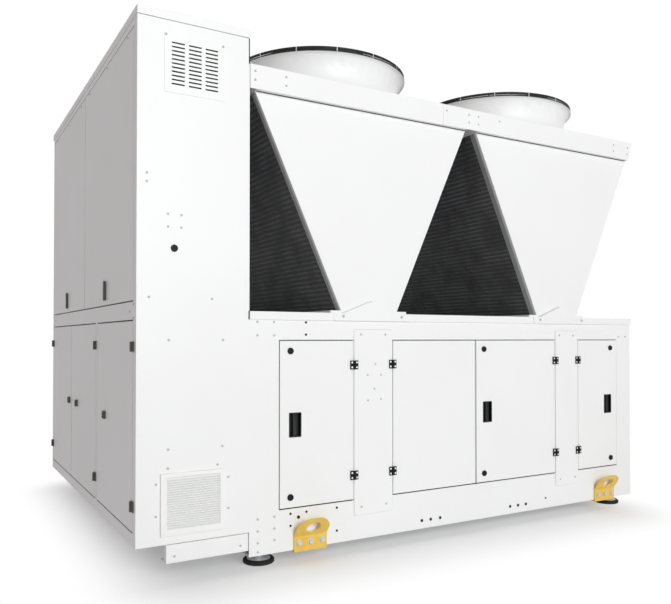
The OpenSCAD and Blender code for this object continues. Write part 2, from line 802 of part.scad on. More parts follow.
module fan_shrouds() color("white") at_fans() rotate_extrude() shroud_section();

module ring(r, w, z, h) translate([0, 0, z]) difference() {
    cylinder(r = r, h = h);
    translate([0, 0, -1]) cylinder(r = r - w, h = h + 2);
}

module fan_guard() {
    band_r = lip_r - shroud_t / 2;
    ring(band_r, bar_t, z_lip, band_h);
    step = (band_r - hub_plate_r) / (ring_n + 1);
    for (k = [1:ring_n]) ring(hub_plate_r + k * step, bar_t, z_guard - bar_t, bar_t);
    translate([0, 0, z_guard - bar_t]) cylinder(r = hub_plate_r, h = bar_t);
    for (k = [0:spoke_n - 1]) rotate(k * 360 / spoke_n)
        translate([hub_plate_r - bar_t, -bar_t / 2, z_guard - bar_t])
            cube([band_r - hub_plate_r, bar_t, bar_t]);
}

module fan_guards() color("#26282b") at_fans() fan_guard();

module fan_motors() color("#2b2d30") at_fans()
    translate([0, 0, z_guard - bar_t - motor_h]) cylinder(r = motor_r, h = motor_h);

// A blade is lofted through sections that lie on cylinders round the fan's axis
function blade_point(t, c, side) =
    let (
        r = blade_root_r + t * (blade_tip_r - blade_root_r),
        pitch = pitch_root + t * (pitch_tip - pitch_root),
        chord = chord_root + t * (chord_tip - chord_root),
        along = (c - 0.5) * chord,
        camber = blade_camber * chord * (1 - pow(2 * c - 1, 2)),
        across = camber + side * blade_t / 2 * (1 - pow(2 * c - 1, 4)),
        s = along * cos(pitch) - across * sin(pitch),
        a = s / r * 180 / PI + blade_sweep * t * t
    )
    [r * cos(a), r * sin(a), along * sin(pitch) + across * cos(pitch)];

function blade_ring(t) = concat(
    [for (k = [0:blade_points]) blade_point(t, k / blade_points, 1)],
    [for (k = [blade_points - 1:-1:1]) blade_point(t, k / blade_points, -1)]
);

module blade() {
    n = 2 * blade_points;
    points = [for (i = [0:blade_stations - 1]) each blade_ring(i / (blade_stations - 1))];
    sides = [for (i = [0:blade_stations - 2], k = [0:n - 1])
        let (a = i * n + k, b = i * n + (k + 1) % n) each [[a, b, b + n], [a, b + n, a + n]]];
    root = [[for (k = [n - 1:-1:0]) k]];
    tip = [[for (k = [0:n - 1]) (blade_stations - 1) * n + k]];
    polyhedron(points, concat(sides, root, tip), convexity = 4);
}

module fan_rotors() color("#3a3d40") at_fans() translate([0, 0, z_guard - bar_t - motor_h - hub_h]) {
    cylinder(r = hub_r, h = hub_h);
    for (k = [0:blade_n - 1]) rotate(k * 360 / blade_n) translate([0, 0, hub_h / 2]) blade();
}

// The ear's frame: Y runs up the ear from the bend and Z out through its thickness
module at_ear() translate([0, 0, lug_h]) rotate([90 + ear_lean, 0, 0]) children();

// What is cut off the ear: its two upper corners and the lifting hole
module ear_waste() {
    for (side = [0, 1]) mirror([side, 0]) translate(ear_corner) difference() {
        square(2 * ear_r);
        circle(r = ear_r);
    }
    translate([0, lug_hole_up]) circle(r = lug_hole_r);
}

// A lug is bolted to the rail, turns in under it and bends out to its ear
module lifting_lug() difference() {
    translate([-lug_w / 2, 0, 0]) rotate([90, 0, 90]) linear_extrude(lug_w) polygon([
        [-lug_t, -lug_t], [lug_foot, -lug_t], [lug_foot, 0], [0, 0], [0, lug_h],
        ear_end, ear_end - lug_t * [cos(ear_lean), sin(ear_lean)],
        [-lug_t, lug_h - lug_t * tan(ear_lean / 2)]
    ]);
    at_ear() translate([0, 0, -lug_t]) linear_extrude(3 * lug_t) ear_waste();
}

module lifting_lugs() color("goldenrod") front_and_back()
    for (x = [x_base + lug_1_x, x_end - lug_2_x]) translate([x, y_f, z_bot]) lifting_lug();

module at_feet() for (x = [x_base + foot_in_x, x_end - foot_in_x], y = [y_f + foot_in_y, -y_f - foot_in_y])
    translate([x, y, 0]) children();

// A rubber ring with a recess for the dish
module foot_rubbers() color("#1b1b1b") at_feet() rotate_extrude() polygon([
    [0, 0], [foot_r - sole_edge, 0], [foot_r, sole_edge], [foot_r, rubber_h - rim_edge],
    [foot_r - rim_edge, rubber_h], [dish_r + dish_t, rubber_h], [dish_r, z_dish], [0, z_dish]
]);

// A metal dish with a stud that reaches the rail
module foot_cups() color("silver") at_feet() rotate_extrude() polygon([
    [0, z_dish], [dish_r, z_dish], [dish_r, z_dish + dish_t], [stud_r + dish_t, z_dish + 2 * dish_t],
    [stud_r, z_dish + 3 * dish_t], [stud_r, foot_h], [0, foot_h]
]);

bottom_rails();
bottom_end_rails();
base_floor();
corner_posts();
door_posts();
post_plates();
header_rails();
deck_beams();
base_deck();
end_panel();
front_door(0);  // front_door_1
front_door(1);  // front_door_2
front_door(2);  // front_door_3
front_door(3);  // front_door_4
front_door_fittings(0);  // front_door_1_fittings
front_door_fittings(1);  // front_door_2_fittings
front_door_fittings(2);  // front_door_3_fittings
front_door_fittings(3);  // front_door_4_fittings
back_doors();
back_door_fittings();
hinge_leaves();
cabinet_front();
cabinet_back();
cabinet_inner_wall();
cabinet_floors();
cabinet_roof();
end_frame();
upper_panels();
upper_panel_handles();
end_door(0);  // end_door_1
end_door(1);  // end_door_2
end_door(2);  // end_door_3
end_door_fittings(0);  // end_door_1_fittings
end_door_fittings(1);  // end_door_2_fittings
end_door_fittings(2);  // end_door_3_fittings
vent_cover();
filter_grille();
cabinet_bearers();
coil_bank(0);  // coil_bank_1
coil_bank(1);  // coil_bank_2
coil_end_plates();
v_end_panels();
v_plinths();
foot_gussets();
fan_deck(0);  // fan_deck_1
fan_deck(1);  // fan_deck_2
deck_joint_plates();
fan_shrouds();
fan_guards();
fan_rotors();
fan_motors();
lifting_lugs();
foot_rubbers();
foot_cups();
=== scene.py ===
import json
import math

import bmesh
import bpy
from mathutils import Matrix, Vector


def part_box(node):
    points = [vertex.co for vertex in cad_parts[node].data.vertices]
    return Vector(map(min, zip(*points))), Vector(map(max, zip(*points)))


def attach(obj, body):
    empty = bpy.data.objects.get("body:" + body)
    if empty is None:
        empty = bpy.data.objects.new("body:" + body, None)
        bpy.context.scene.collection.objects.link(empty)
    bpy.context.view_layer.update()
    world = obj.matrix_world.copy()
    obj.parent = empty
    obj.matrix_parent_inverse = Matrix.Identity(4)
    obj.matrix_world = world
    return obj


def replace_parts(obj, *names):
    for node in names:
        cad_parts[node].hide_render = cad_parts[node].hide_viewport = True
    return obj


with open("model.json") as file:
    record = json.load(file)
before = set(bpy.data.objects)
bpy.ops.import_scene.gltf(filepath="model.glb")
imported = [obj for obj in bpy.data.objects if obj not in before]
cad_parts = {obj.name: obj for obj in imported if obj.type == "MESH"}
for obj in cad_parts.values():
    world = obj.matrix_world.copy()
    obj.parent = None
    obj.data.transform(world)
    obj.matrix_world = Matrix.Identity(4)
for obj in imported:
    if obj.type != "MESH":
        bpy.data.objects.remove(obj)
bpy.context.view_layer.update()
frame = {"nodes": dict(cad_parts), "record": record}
print("frame loaded:", len(frame["nodes"]), "nodes")

mixA, mixB, mixOut = 6, 7, 2  # a Mix node's colour sockets, by place, as their names aren't unique
plainWhite = (1, 1, 1, 1)


def linear(hexColour):
    # sRGB hex to the linear RGBA that a colour socket takes
    parts = [int(hexColour[i:i + 2], 16) / 255 for i in (1, 3, 5)]
    return [c / 12.92 if c <= 0.04045 else ((c + 0.055) / 1.055) ** 2.4 for c in parts] + [1.0]


def addNode(tree, kind, settings=None, links=None):
    node = tree.nodes.new(kind)
    for key, value in (settings or {}).items():
        if isinstance(key, str) and hasattr(node, key):
            setattr(node, key, value)
        else:
            node.inputs[key].default_value = value
    for key, source in (links or {}).items():
        tree.links.new(source, node.inputs[key])
    return node


def newMaterial(name, **sockets):
    # an empty tree with Object coordinates, a shader and its output
    material = bpy.data.materials.new(name)
    material.use_nodes = True
    tree = material.node_tree
    tree.nodes.clear()
    coords = addNode(tree, "ShaderNodeTexCoord").outputs["Object"]
    shader = addNode(tree, "ShaderNodeBsdfPrincipled", sockets)
    addNode(tree, "ShaderNodeOutputMaterial", links={"Surface": shader.outputs["BSDF"]})
    return material, tree, coords, shader


def perMetre(sizeMm):
    return 1000 / sizeMm


def bandsPerMetre(sizeMm):
    # a Wave texture repeats every pi / 10 at a scale of 1
    return perMetre(sizeMm) * math.pi / 10


def makePowderCoat(name, colour, cloud, roughness):
    # baked polyester powder on sheet steel: satin, nearly even, with a soft orange peel
    look = dict(cloudMm=620, peelMm=7, peelDepth=0.05, dullFrom=0.92, dullTo=1.12)
    material, tree, coords, shader = newMaterial(name, Roughness=roughness, IOR=1.5)
    cloudNoise = addNode(tree, "ShaderNodeTexNoise",
                         {"Scale": perMetre(look["cloudMm"]), "Detail": 4.0, "Roughness": 0.55},
                         {"Vector": coords})
    tone = addNode(tree, "ShaderNodeMix",
                   {"data_type": "RGBA", mixA: linear(colour), mixB: linear(cloud)},
                   {0: cloudNoise.outputs["Fac"]})
    tree.links.new(tone.outputs[mixOut], shader.inputs["Base Color"])
    dull = addNode(tree, "ShaderNodeMapRange",
                   {"To Min": roughness * look["dullFrom"], "To Max": roughness * look["dullTo"]},
                   {"Value": cloudNoise.outputs["Fac"]})
    tree.links.new(dull.outputs["Result"], shader.inputs["Roughness"])
    # the real peel is about 2 mm wide and is drawn wider, so that it shows
    peel = addNode(tree, "ShaderNodeTexNoise", {"Scale": perMetre(look["peelMm"]), "Detail": 1.0},
                   {"Vector": coords})
    bump = addNode(tree, "ShaderNodeBump", {"Strength": look["peelDepth"], "Distance": 0.001},
                   {"Height": peel.outputs["Fac"]})
    tree.links.new(bump.outputs["Normal"], shader.inputs["Normal"])
    return material


def makeNylon(name, colour, worn, roughness, gloss=0.5):
    # nylon and other mouldings from a spark-eroded tool: matt, finely pitted, worn in small patches
    look = dict(grainMm=1.5, wearMm=35, grainDepth=0.12)
    material, tree, coords, shader = newMaterial(name, Roughness=roughness, IOR=1.53)
    shader.inputs["Specular IOR Level"].default_value = gloss
    wear = addNode(tree, "ShaderNodeTexNoise", {"Scale": perMetre(look["wearMm"]), "Detail": 5.0},
                   {"Vector": coords})
    tone = addNode(tree, "ShaderNodeMix",
                   {"data_type": "RGBA", mixA: linear(colour), mixB: linear(worn)},
                   {0: wear.outputs["Fac"]})
    tree.links.new(tone.outputs[mixOut], shader.inputs["Base Color"])
    grain = addNode(tree, "ShaderNodeTexNoise", {"Scale": perMetre(look["grainMm"]), "Detail": 2.0},
                    {"Vector": coords})
    bump = addNode(tree, "ShaderNodeBump", {"Strength": look["grainDepth"], "Distance": 0.0005},
                   {"Height": grain.outputs["Fac"]})
    tree.links.new(bump.outputs["Normal"], shader.inputs["Normal"])
    return material


def makeCoatedFins():
    # aluminium fins with black epoxy: thin plates across level tubes, matt, paler in patches, with a
    # painted highlight along the tubes' crests that is stronger in some patches
    look = dict(finMm=14, patchMm=130, colour="#343538", pale="#777879", finDepth=0.5,
                tubeMm=25.4, tubeOutMm=4, lean=math.radians(24.6), tubeColour="#8A8B8C", tubeShare=0.6)
    material, tree, coords, shader = newMaterial("blackEpoxyFins", Roughness=0.5, IOR=1.55)
    # the real fins stand 2 mm apart and are drawn wider, so that they show
    fins = addNode(tree, "ShaderNodeTexWave",
                   {"bands_direction": "Y", "Scale": bandsPerMetre(look["finMm"]),
                    "Distortion": 0.6, "Detail": 1.0},
                   {"Vector": coords})
    patches = addNode(tree, "ShaderNodeTexNoise", {"Scale": perMetre(look["patchMm"]), "Detail": 6.0},
                      {"Vector": coords})
    mixed = addNode(tree, "ShaderNodeMath", {"operation": "MULTIPLY"},
                    {0: fins.outputs["Fac"], 1: patches.outputs["Fac"]})
    coating = addNode(tree, "ShaderNodeMix",
                      {"data_type": "RGBA", mixA: linear(look["colour"]), mixB: linear(look["pale"])},
                      {0: mixed.outputs["Value"]})
    # the tubes lie level, so the painted highlights on their crests are bands in Z; the first one is a
    # pitch up the slope
    rise = look["tubeMm"] * math.cos(look["lean"])
    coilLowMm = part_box("coil_bank_1")[0].z * 1000
    firstTube = coilLowMm + rise - look["tubeOutMm"] * math.sin(look["lean"])
    tubes = addNode(tree, "ShaderNodeTexWave",
                    {"bands_direction": "Z", "Scale": bandsPerMetre(rise),
                     "Phase Offset": math.pi - 2 * math.pi * firstTube / rise},
                    {"Vector": coords})
    # painted highlight: a pale band on each tube's crest, made stronger where the patches are pale
    faces = addNode(tree, "ShaderNodeMapRange", {"From Min": 0.5, "To Max": look["tubeShare"]},
                    {"Value": tubes.outputs["Fac"]})
    rubbed = addNode(tree, "ShaderNodeMapRange", {"From Min": 0.36, "From Max": 0.62, "To Min": 0.15},
                     {"Value": patches.outputs["Fac"]})
    paintedCrestHighlight = addNode(tree, "ShaderNodeMath", {"operation": "MULTIPLY"},
                       {0: faces.outputs["Result"], 1: rubbed.outputs["Result"]})
    tone = addNode(tree, "ShaderNodeMix", {"data_type": "RGBA", mixB: linear(look["tubeColour"])},
                   {0: paintedCrestHighlight.outputs["Value"], mixA: coating.outputs[mixOut]})
    tree.links.new(tone.outputs[mixOut], shader.inputs["Base Color"])
    bump = addNode(tree, "ShaderNodeBump", {"Strength": look["finDepth"], "Distance": 0.004},
                   {"Height": fins.outputs["Fac"]})
    tree.links.new(bump.outputs["Normal"], shader.inputs["Normal"])
    return material


def makeGalvanised(name, colour, spangleColour, roughness, metallic):
    # hot-dip galvanised sheet: grey zinc crystals of some millimetres, each a little brighter or duller
    look = dict(spangleMm=14, streakMm=90, dullFrom=0.8, dullTo=1.3)
    material, tree, coords, shader = newMaterial(name, Metallic=metallic, Roughness=roughness)
    spangle = addNode(tree, "ShaderNodeTexVoronoi", {"Scale": perMetre(look["spangleMm"])},
                      {"Vector": coords})
    streak = addNode(tree, "ShaderNodeTexNoise", {"Scale": perMetre(look["streakMm"]), "Detail": 4.0},
                     {"Vector": coords})
    blend = addNode(tree, "ShaderNodeMath", {"operation": "MULTIPLY"},
                    {0: spangle.outputs["Color"], 1: streak.outputs["Fac"]})
    tone = addNode(tree, "ShaderNodeMix",
                   {"data_type": "RGBA", mixA: linear(colour), mixB: linear(spangleColour)},
                   {0: blend.outputs["Value"]})
    tree.links.new(tone.outputs[mixOut], shader.inputs["Base Color"])
    dull = addNode(tree, "ShaderNodeMapRange",
                   {"To Min": roughness * look["dullFrom"], "To Max": roughness * look["dullTo"]},
                   {"Value": spangle.outputs["Color"]})
    tree.links.new(dull.outputs["Result"], shader.inputs["Roughness"])
    return material


def makeGloss(name, colour, rub, roughness, rubMm):
    # brushed or sprayed enamel: even colour with rubbed, slightly duller patches
    look = dict(rubDepth=0.15, rubFrom=0.35, rubTo=0.75)
    material, tree, coords, shader = newMaterial(name, Roughness=roughness, IOR=1.5)
    rubbed = addNode(tree, "ShaderNodeTexNoise",
                     {"Scale": perMetre(rubMm), "Detail": 6.0, "Roughness": 0.6},
                     {"Vector": coords})
    steep = addNode(tree, "ShaderNodeMapRange", {"From Min": look["rubFrom"], "From Max": look["rubTo"]},
                    {"Value": rubbed.outputs["Fac"]})
    tone = addNode(tree, "ShaderNodeMix",
                   {"data_type": "RGBA", mixA: linear(colour), mixB: linear(rub)},
                   {0: steep.outputs["Result"]})
    tree.links.new(tone.outputs[mixOut], shader.inputs["Base Color"])
    bump = addNode(tree, "ShaderNodeBump", {"Strength": look["rubDepth"], "Distance": 0.001},
                   {"Height": rubbed.outputs["Fac"]})
    tree.links.new(bump.outputs["Normal"], shader.inputs["Normal"])
    return material


finishes = dict(
    white_sheet_steel=makePowderCoat("whitePowderCoat", "#F4F4F4", "#EEEEED", roughness=0.42),
    grey_floor_sheet=makePowderCoat("greyPowderCoat", "#C6C8CA", "#B7BABD", roughness=0.5),
    black_fittings=makeNylon("blackNylon", "#0C0C0D", "#161617", roughness=0.5, gloss=0.18),
    grille_plastic=makeNylon("whiteAbs", "#F7F7F5", "#F1F1EF", roughness=0.42),
    black_coil=makeCoatedFins(),
    galvanised_plate=makeGalvanised("galvanisedSheet", "#C2C6C5", "#D6D9D8", roughness=0.55, metallic=0.5),
    black_guard=makeNylon("blackWireCoat", "#1B1C1D", "#2A2B2C", roughness=0.5, gloss=0.25),
    dark_blades=makeNylon("darkBladePlastic", "#2C2E31", "#3A3C40", roughness=0.45),
    motor_casing=makeGloss("motorEnamel", "#33363A", "#45494D", roughness=0.4, rubMm=60),
    yellow_lug=makeGloss("yellowEnamel", "#ECC75A", "#E3B648", roughness=0.4, rubMm=45),
    black_rubber=makeNylon("mouldedRubber", "#141414", "#232323", roughness=0.7, gloss=0.25),
    bright_zinc=makeGalvanised("brightZinc", "#DFE1E3", "#F2F3F4", roughness=0.32, metallic=0.45),
    # painted light: a paler grey for black fittings on the cabinet's shaded end, standing in for flare over
    # it
    grey_nylon=makeNylon("weatheredNylon", "#4E4C4A", "#5E5B58", roughness=0.6, gloss=0.25),
)
# finishes that the record has no slot for, with the slot they belong to
# the end's fittings take the grey nylon, their black painted paler as if lit by flare
ownFinish = dict(foot_cups="bright_zinc", upper_panel_handles="grey_nylon",
                 end_door_1_fittings="grey_nylon", end_door_2_fittings="grey_nylon",
                 end_door_3_fittings="grey_nylon")

for part in frame["record"]["subparts"]:
    mesh = frame["nodes"][part["node"]].data
    mesh.materials.clear()
    mesh.materials.append(finishes[ownFinish.get(part["node"], part["material_slot"])])


def startMesh(kind, **settings):
    # one primitive to work on, in edit mode, with nothing else selected
    bpy.ops.object.select_all(action="DESELECT")
    getattr(bpy.ops.mesh, "primitive_" + kind + "_add")(**settings)
    bpy.ops.object.mode_set(mode="EDIT")
    return bpy.context.object


def startDisc(**settings):
    return startMesh("circle", fill_type="NGON", **settings)


def startBar(centre, size):
    bar = startMesh("cube", size=1.0, location=centre)
    bpy.ops.transform.resize(value=size, center_override=centre)
    return bar


def startPlate(width, height, corner, segments, thick):
    # a flat plate on the XY plane with rounded corners
    plate = startMesh("plane", size=1.0)
    bpy.ops.transform.resize(value=(width, height, 1))
    bpy.ops.mesh.bevel(offset=corner, segments=segments, affect="VERTICES")
    extrude(z=thick)
    return plate


def pick(piece, kind, test):
    # just the faces, edges or vertices that pass the test are selected
    bpy.ops.mesh.select_mode(type=kind)
    bpy.ops.mesh.select_all(action="DESELECT")
    shape = bmesh.from_edit_mesh(piece.data)
    for part in dict(FACE=shape.faces, EDGE=shape.edges, VERT=shape.verts)[kind]:
        if test(part):
            part.select_set(True)
    bmesh.update_edit_mesh(piece.data)


def run(edge, axis):
    # how far an edge goes along an axis
    return abs(edge.verts[0].co[axis] - edge.verts[1].co[axis])


def extrude(x=0.0, y=0.0, z=0.0):
    bpy.ops.mesh.extrude_region_move(TRANSFORM_OT_translate={"value": (x, y, z)})


def inset(thickness, depth=0.0):
    bpy.ops.mesh.inset(thickness=thickness, depth=depth)


def roundEdges(offset, segments):
    bpy.ops.mesh.bevel(offset=offset, segments=segments, affect="EDGES")


def takeUp(pieces):
    # leaves edit mode and selects these objects, the first one active
    if bpy.context.object and bpy.context.object.mode == "EDIT":
        bpy.ops.object.mode_set(mode="OBJECT")
    bpy.ops.object.select_all(action="DESELECT")
    for piece in pieces:
        piece.select_set(True)
    bpy.context.view_layer.objects.active = pieces[0]


def joined(pieces):
    takeUp(pieces)
    if len(pieces) > 1:
        bpy.ops.object.join()
    return pieces[0]


def settle(piece, name, finish, body, smooth=35):
    # the finished piece: at the origin, normals out, in its finish, on its body
    takeUp([piece])
    bpy.ops.object.transform_apply(location=True, rotation=True, scale=True)
    bpy.ops.object.mode_set(mode="EDIT")
    bpy.ops.mesh.select_all(action="SELECT")
    bpy.ops.mesh.normals_make_consistent(inside=False)
    bpy.ops.object.mode_set(mode="OBJECT")
    bpy.ops.object.shade_smooth_by_angle(angle=math.radians(smooth))
    piece.name = piece.data.name = name
    piece.data.materials.clear()
    piece.data.materials.append(finishes[finish])
    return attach(piece, body)


def copied(master, places):
    # a copy with its own mesh at each place, joined into one object
    takeUp([master])
    bpy.context.view_layer.update()
    copies = []
    for place in places:
        copy = master.copy()
        copy.data = master.data.copy()
        bpy.context.scene.collection.objects.link(copy)
        copy.matrix_world = place @ master.matrix_world
        copies.append(copy)
    return joined(copies)


def discard(*masters):
    for master in masters:
        bpy.data.objects.remove(master)


def onWall(side, x, y, z):
    # sets what is modelled on the XY plane, with +Z outwards, against a wall
    turn = dict(front=0, right=90, back=180, left=-90)[side]
    return (Matrix.Translation((x, y, z)) @ Matrix.Rotation(math.radians(turn), 4, "Z")
            @ Matrix.Rotation(math.radians(90), 4, "X"))


def bothSides(spots, y):
    # places on the front wall, and the same ones mirrored to the back wall
    return [onWall("front", x, y, z) for x, z in spots] + [onWall("back", x, -y, z) for x, z in spots]


def turnsOf(count, first=0.0):
    # turns about Z, in radians, spread evenly over a circle
    return [first + 2 * math.pi * k / count for k in range(count)]


facing = 0.9  # a face looks along an axis when its normal has at least this much of it
manySided = 12  # the back of a disc or of a rounded plate has more corners than this
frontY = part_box("bottom_rails")[0].y
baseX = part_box("bottom_rails")[0].x
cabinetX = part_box("cabinet_front")[0].x
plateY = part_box("post_plates")[0].y  # face of the cover plates and of the vent cover
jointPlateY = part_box("deck_joint_plates")[0].y
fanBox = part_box("fan_shrouds")
deckTop = fanBox[0].z
modules = [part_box("coil_bank_1"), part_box("coil_bank_2")]
moduleX = [(low.x + high.x) / 2 for low, high in modules]
lipRadius = moduleX[0] - fanBox[0].x
fanY = fanBox[1].y - lipRadius
fanCentres = [(x, y) for x in moduleX for y in (-fanY, fanY)]
joints = frame["record"]["behaviour"]["joints"]


def makeBar(centre, size, roundOff):
    # a straight bar with its long edges rounded off
    bar = startBar(centre, size)
    along = max(range(3), key=lambda axis: size[axis])
    pick(bar, "EDGE", lambda edge: run(edge, along) > size[along] / 2)
    roundEdges(roundOff, segments=2)
    takeUp([bar])
    return bar


# shares of a screw head's radius and height
panHeadLook = dict(side=0.55, dome=0.28, domeHigh=0.45, socketRim=0.24, socketDeep=0.6)


def makePanHead(radius, high):
    # pan head with a pressed socket
    head = startDisc(vertices=12, radius=radius)
    extrude(z=high * panHeadLook["side"])
    inset(radius * panHeadLook["dome"], depth=high * panHeadLook["domeHigh"])
    inset(radius * panHeadLook["socketRim"])
    extrude(z=-high * panHeadLook["socketDeep"])
    takeUp([head])
    return head


# painted screws in the panels, as (x, z) on the front, most of them on the back too
screwLook = dict(
    radius=0.006, high=0.0024,
    plates=[(-0.489, 1.112), (-0.337, 1.112), (-0.486, 0.228), (-0.333, 0.227),
            (0.957, 1.110), (1.078, 1.109), (0.961, 0.226), (1.091, 0.228)],
    frame=[(-1.064, 0.236), (-1.064, 0.179), (-0.978, 0.238), (-0.978, 0.182), (-1.067, 1.106),
           (-0.980, 1.106), (-1.067, 1.170), (-0.980, 1.170), (1.506, 1.101), (1.576, 1.103)],
    corners=[(-1.064, 0.124), (-1.064, 0.082), (-0.978, 0.128)],
    jointPlates=[(-1.081, 2.363), (-1.081, 2.321), (-0.917, 2.363), (-0.917, 2.321), (0.239, 2.362),
                 (0.239, 2.318), (0.309, 2.362), (0.309, 2.318), (0.077, 2.361), (0.471, 2.361)],
    deckEnds=[(1.473, 2.360), (1.473, 2.320), (1.612, 2.360), (1.606, 2.317)],
    cabinet=[(-1.595, 1.819), (-1.595, 1.781), (-1.500, 1.645), (-1.439, 1.645), (-1.500, 1.588),
             (-1.439, 1.588), (-1.584, 1.273), (-1.294, 1.272), (-1.495, 1.084), (-1.240, 1.084),
             (-1.550, 0.450), (-1.550, 0.309), (-1.213, 0.451), (-1.212, 0.308), (-1.496, 0.598),
             (-1.242, 0.596), (-1.497, 0.515), (-1.265, 0.513)],
    vent=[(-1.512, 2.447), (-1.243, 2.445)],
    bearers=[(-1.464, 0.122), (-1.148, 0.122)],
    # these three are (y, z) on the ends
    upperPanels=[(y, 2.463) for y in (-0.976, -0.557, -0.117, 0.135, 0.553, 0.976)],
    middleRail=[(-1.030, 1.212), (-1.099, 1.242), (-1.099, 1.182)],
    endSheet=[(y, z) for z in (0.150, 1.120) for y in (-1.08, -0.648, -0.216, 0.216, 0.648, 1.08)],
    flangeRadius=0.484, flangeThick=0.005, flangeCount=12,
)
screw = makePanHead(screwLook["radius"], screwLook["high"])
cornerPlateLook = dict(low=0.066, high=0.144, left=-1.098, right=-0.963, thick=0.0015, corner=0.006)
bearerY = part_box("cabinet_bearers")[0].y
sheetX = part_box("end_panel")[1].x
flangeTop = deckTop + screwLook["flangeThick"]
screwPlaces = (
    bothSides(screwLook["plates"], plateY) + bothSides(screwLook["frame"], frontY)
    + bothSides(screwLook["corners"], frontY - cornerPlateLook["thick"])
    + bothSides(screwLook["jointPlates"], jointPlateY) + bothSides(screwLook["deckEnds"], frontY)
    + bothSides(screwLook["bearers"], bearerY)
    + [onWall("front", x, frontY, z) for x, z in screwLook["cabinet"]]
    + [onWall("front", x, plateY, z) for x, z in screwLook["vent"]]
    + [onWall("left", cabinetX, y, z) for y, z in screwLook["upperPanels"]]
    + [onWall("left", cabinetX, side * y, z) for y, z in screwLook["middleRail"] for side in (1, -1)]
    + [onWall("right", sheetX, y, z) for y, z in screwLook["endSheet"]]
    + [Matrix.Translation((x + screwLook["flangeRadius"] * math.cos(turn),
                           y + screwLook["flangeRadius"] * math.sin(turn), flangeTop))
       for x, y in fanCentres for turn in turnsOf(screwLook["flangeCount"])]
)
settle(copied(screw, screwPlaces), "panelScrews", "grey_floor_sheet", "housing")
print("panel screws set:", len(screwPlaces))

# thin plates over the lower left corners of the base
cornerPlate = startPlate(cornerPlateLook["right"] - cornerPlateLook["left"],
                         cornerPlateLook["high"] - cornerPlateLook["low"],
                         cornerPlateLook["corner"], segments=3, thick=cornerPlateLook["thick"])
cornerSpot = ((cornerPlateLook["left"] + cornerPlateLook["right"]) / 2,
              (cornerPlateLook["low"] + cornerPlateLook["high"]) / 2)
settle(copied(cornerPlate, bothSides([cornerSpot], frontY)), "cornerPlates", "white_sheet_steel", "housing")
discard(cornerPlate)

# a grey outline round each cover plate paints the thin shadow line at its edges
plateShadeLook = dict(reach=0.0015, thick=0.0012, corner=0.011, plates=[(-0.529, -0.293), (0.923, 1.119)])
plateLow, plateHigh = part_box("post_plates")[0].z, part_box("post_plates")[1].z
plateShadeOutlines = []
for left, right in plateShadeLook["plates"]:
    plateShadeOutline = startPlate(right - left + 2 * plateShadeLook["reach"],
                        plateHigh - plateLow + 2 * plateShadeLook["reach"],
                        plateShadeLook["corner"], segments=4, thick=plateShadeLook["thick"])
    plateShadeSpot = ((left + right) / 2, (plateLow + plateHigh) / 2)
    plateShadeOutlines.append(copied(plateShadeOutline, bothSides([plateShadeSpot], frontY)))
    discard(plateShadeOutline)
settle(joined(plateShadeOutlines), "plateGaskets", "grey_floor_sheet", "housing")

# six flat caps on the first cover plate
capLook = dict(radius=0.0055, high=0.0012, side=0.6, dome=0.25, domeHigh=0.4,
               spots=[(-0.400, 0.959), (-0.448, 0.902), (-0.365, 0.901), (-0.406, 0.831),
                      (-0.445, 0.771), (-0.365, 0.775)])
cap = startDisc(vertices=20, radius=capLook["radius"])
extrude(z=capLook["high"] * capLook["side"])
inset(capLook["radius"] * capLook["dome"], depth=capLook["high"] * capLook["domeHigh"])
takeUp([cap])
settle(copied(cap, bothSides(capLook["spots"], plateY)), "plateCaps", "grey_floor_sheet", "housing")
discard(cap)

# black plugs in the spare holes of the rails
plugLook = dict(
    radius=0.0060, high=0.0016, dome=0.3, domeHigh=0.4, dimple=0.25, dimpleDeep=0.7, wide=1.4,
    spots=[(0.836, 0.124), (-0.891, 0.241), (-0.891, 0.183), (-0.804, 0.241), (-0.631, 0.240),
           (-0.631, 0.125), (-0.807, 1.110), (-0.807, 1.170)],
    wideSpots=[(-0.099, 0.107), (-0.039, 0.107), (0.026, 0.107), (0.545, 0.107), (0.608, 0.107),
               (0.671, 0.107), (-0.848, 0.220)],
)
plug = startDisc(vertices=12, radius=plugLook["radius"])
extrude(z=plugLook["high"])
inset(plugLook["radius"] * plugLook["dome"], depth=plugLook["high"] * plugLook["domeHigh"])
inset(plugLook["radius"] * plugLook["dimple"], depth=-plugLook["high"] * plugLook["dimpleDeep"])
takeUp([plug])
plugPlaces = bothSides(plugLook["spots"], frontY) + [
    place @ Matrix.Scale(plugLook["wide"], 4) for place in bothSides(plugLook["wideSpots"], frontY)]
settle(copied(plug, plugPlaces), "holePlugs", "black_rubber", "housing")
discard(plug)

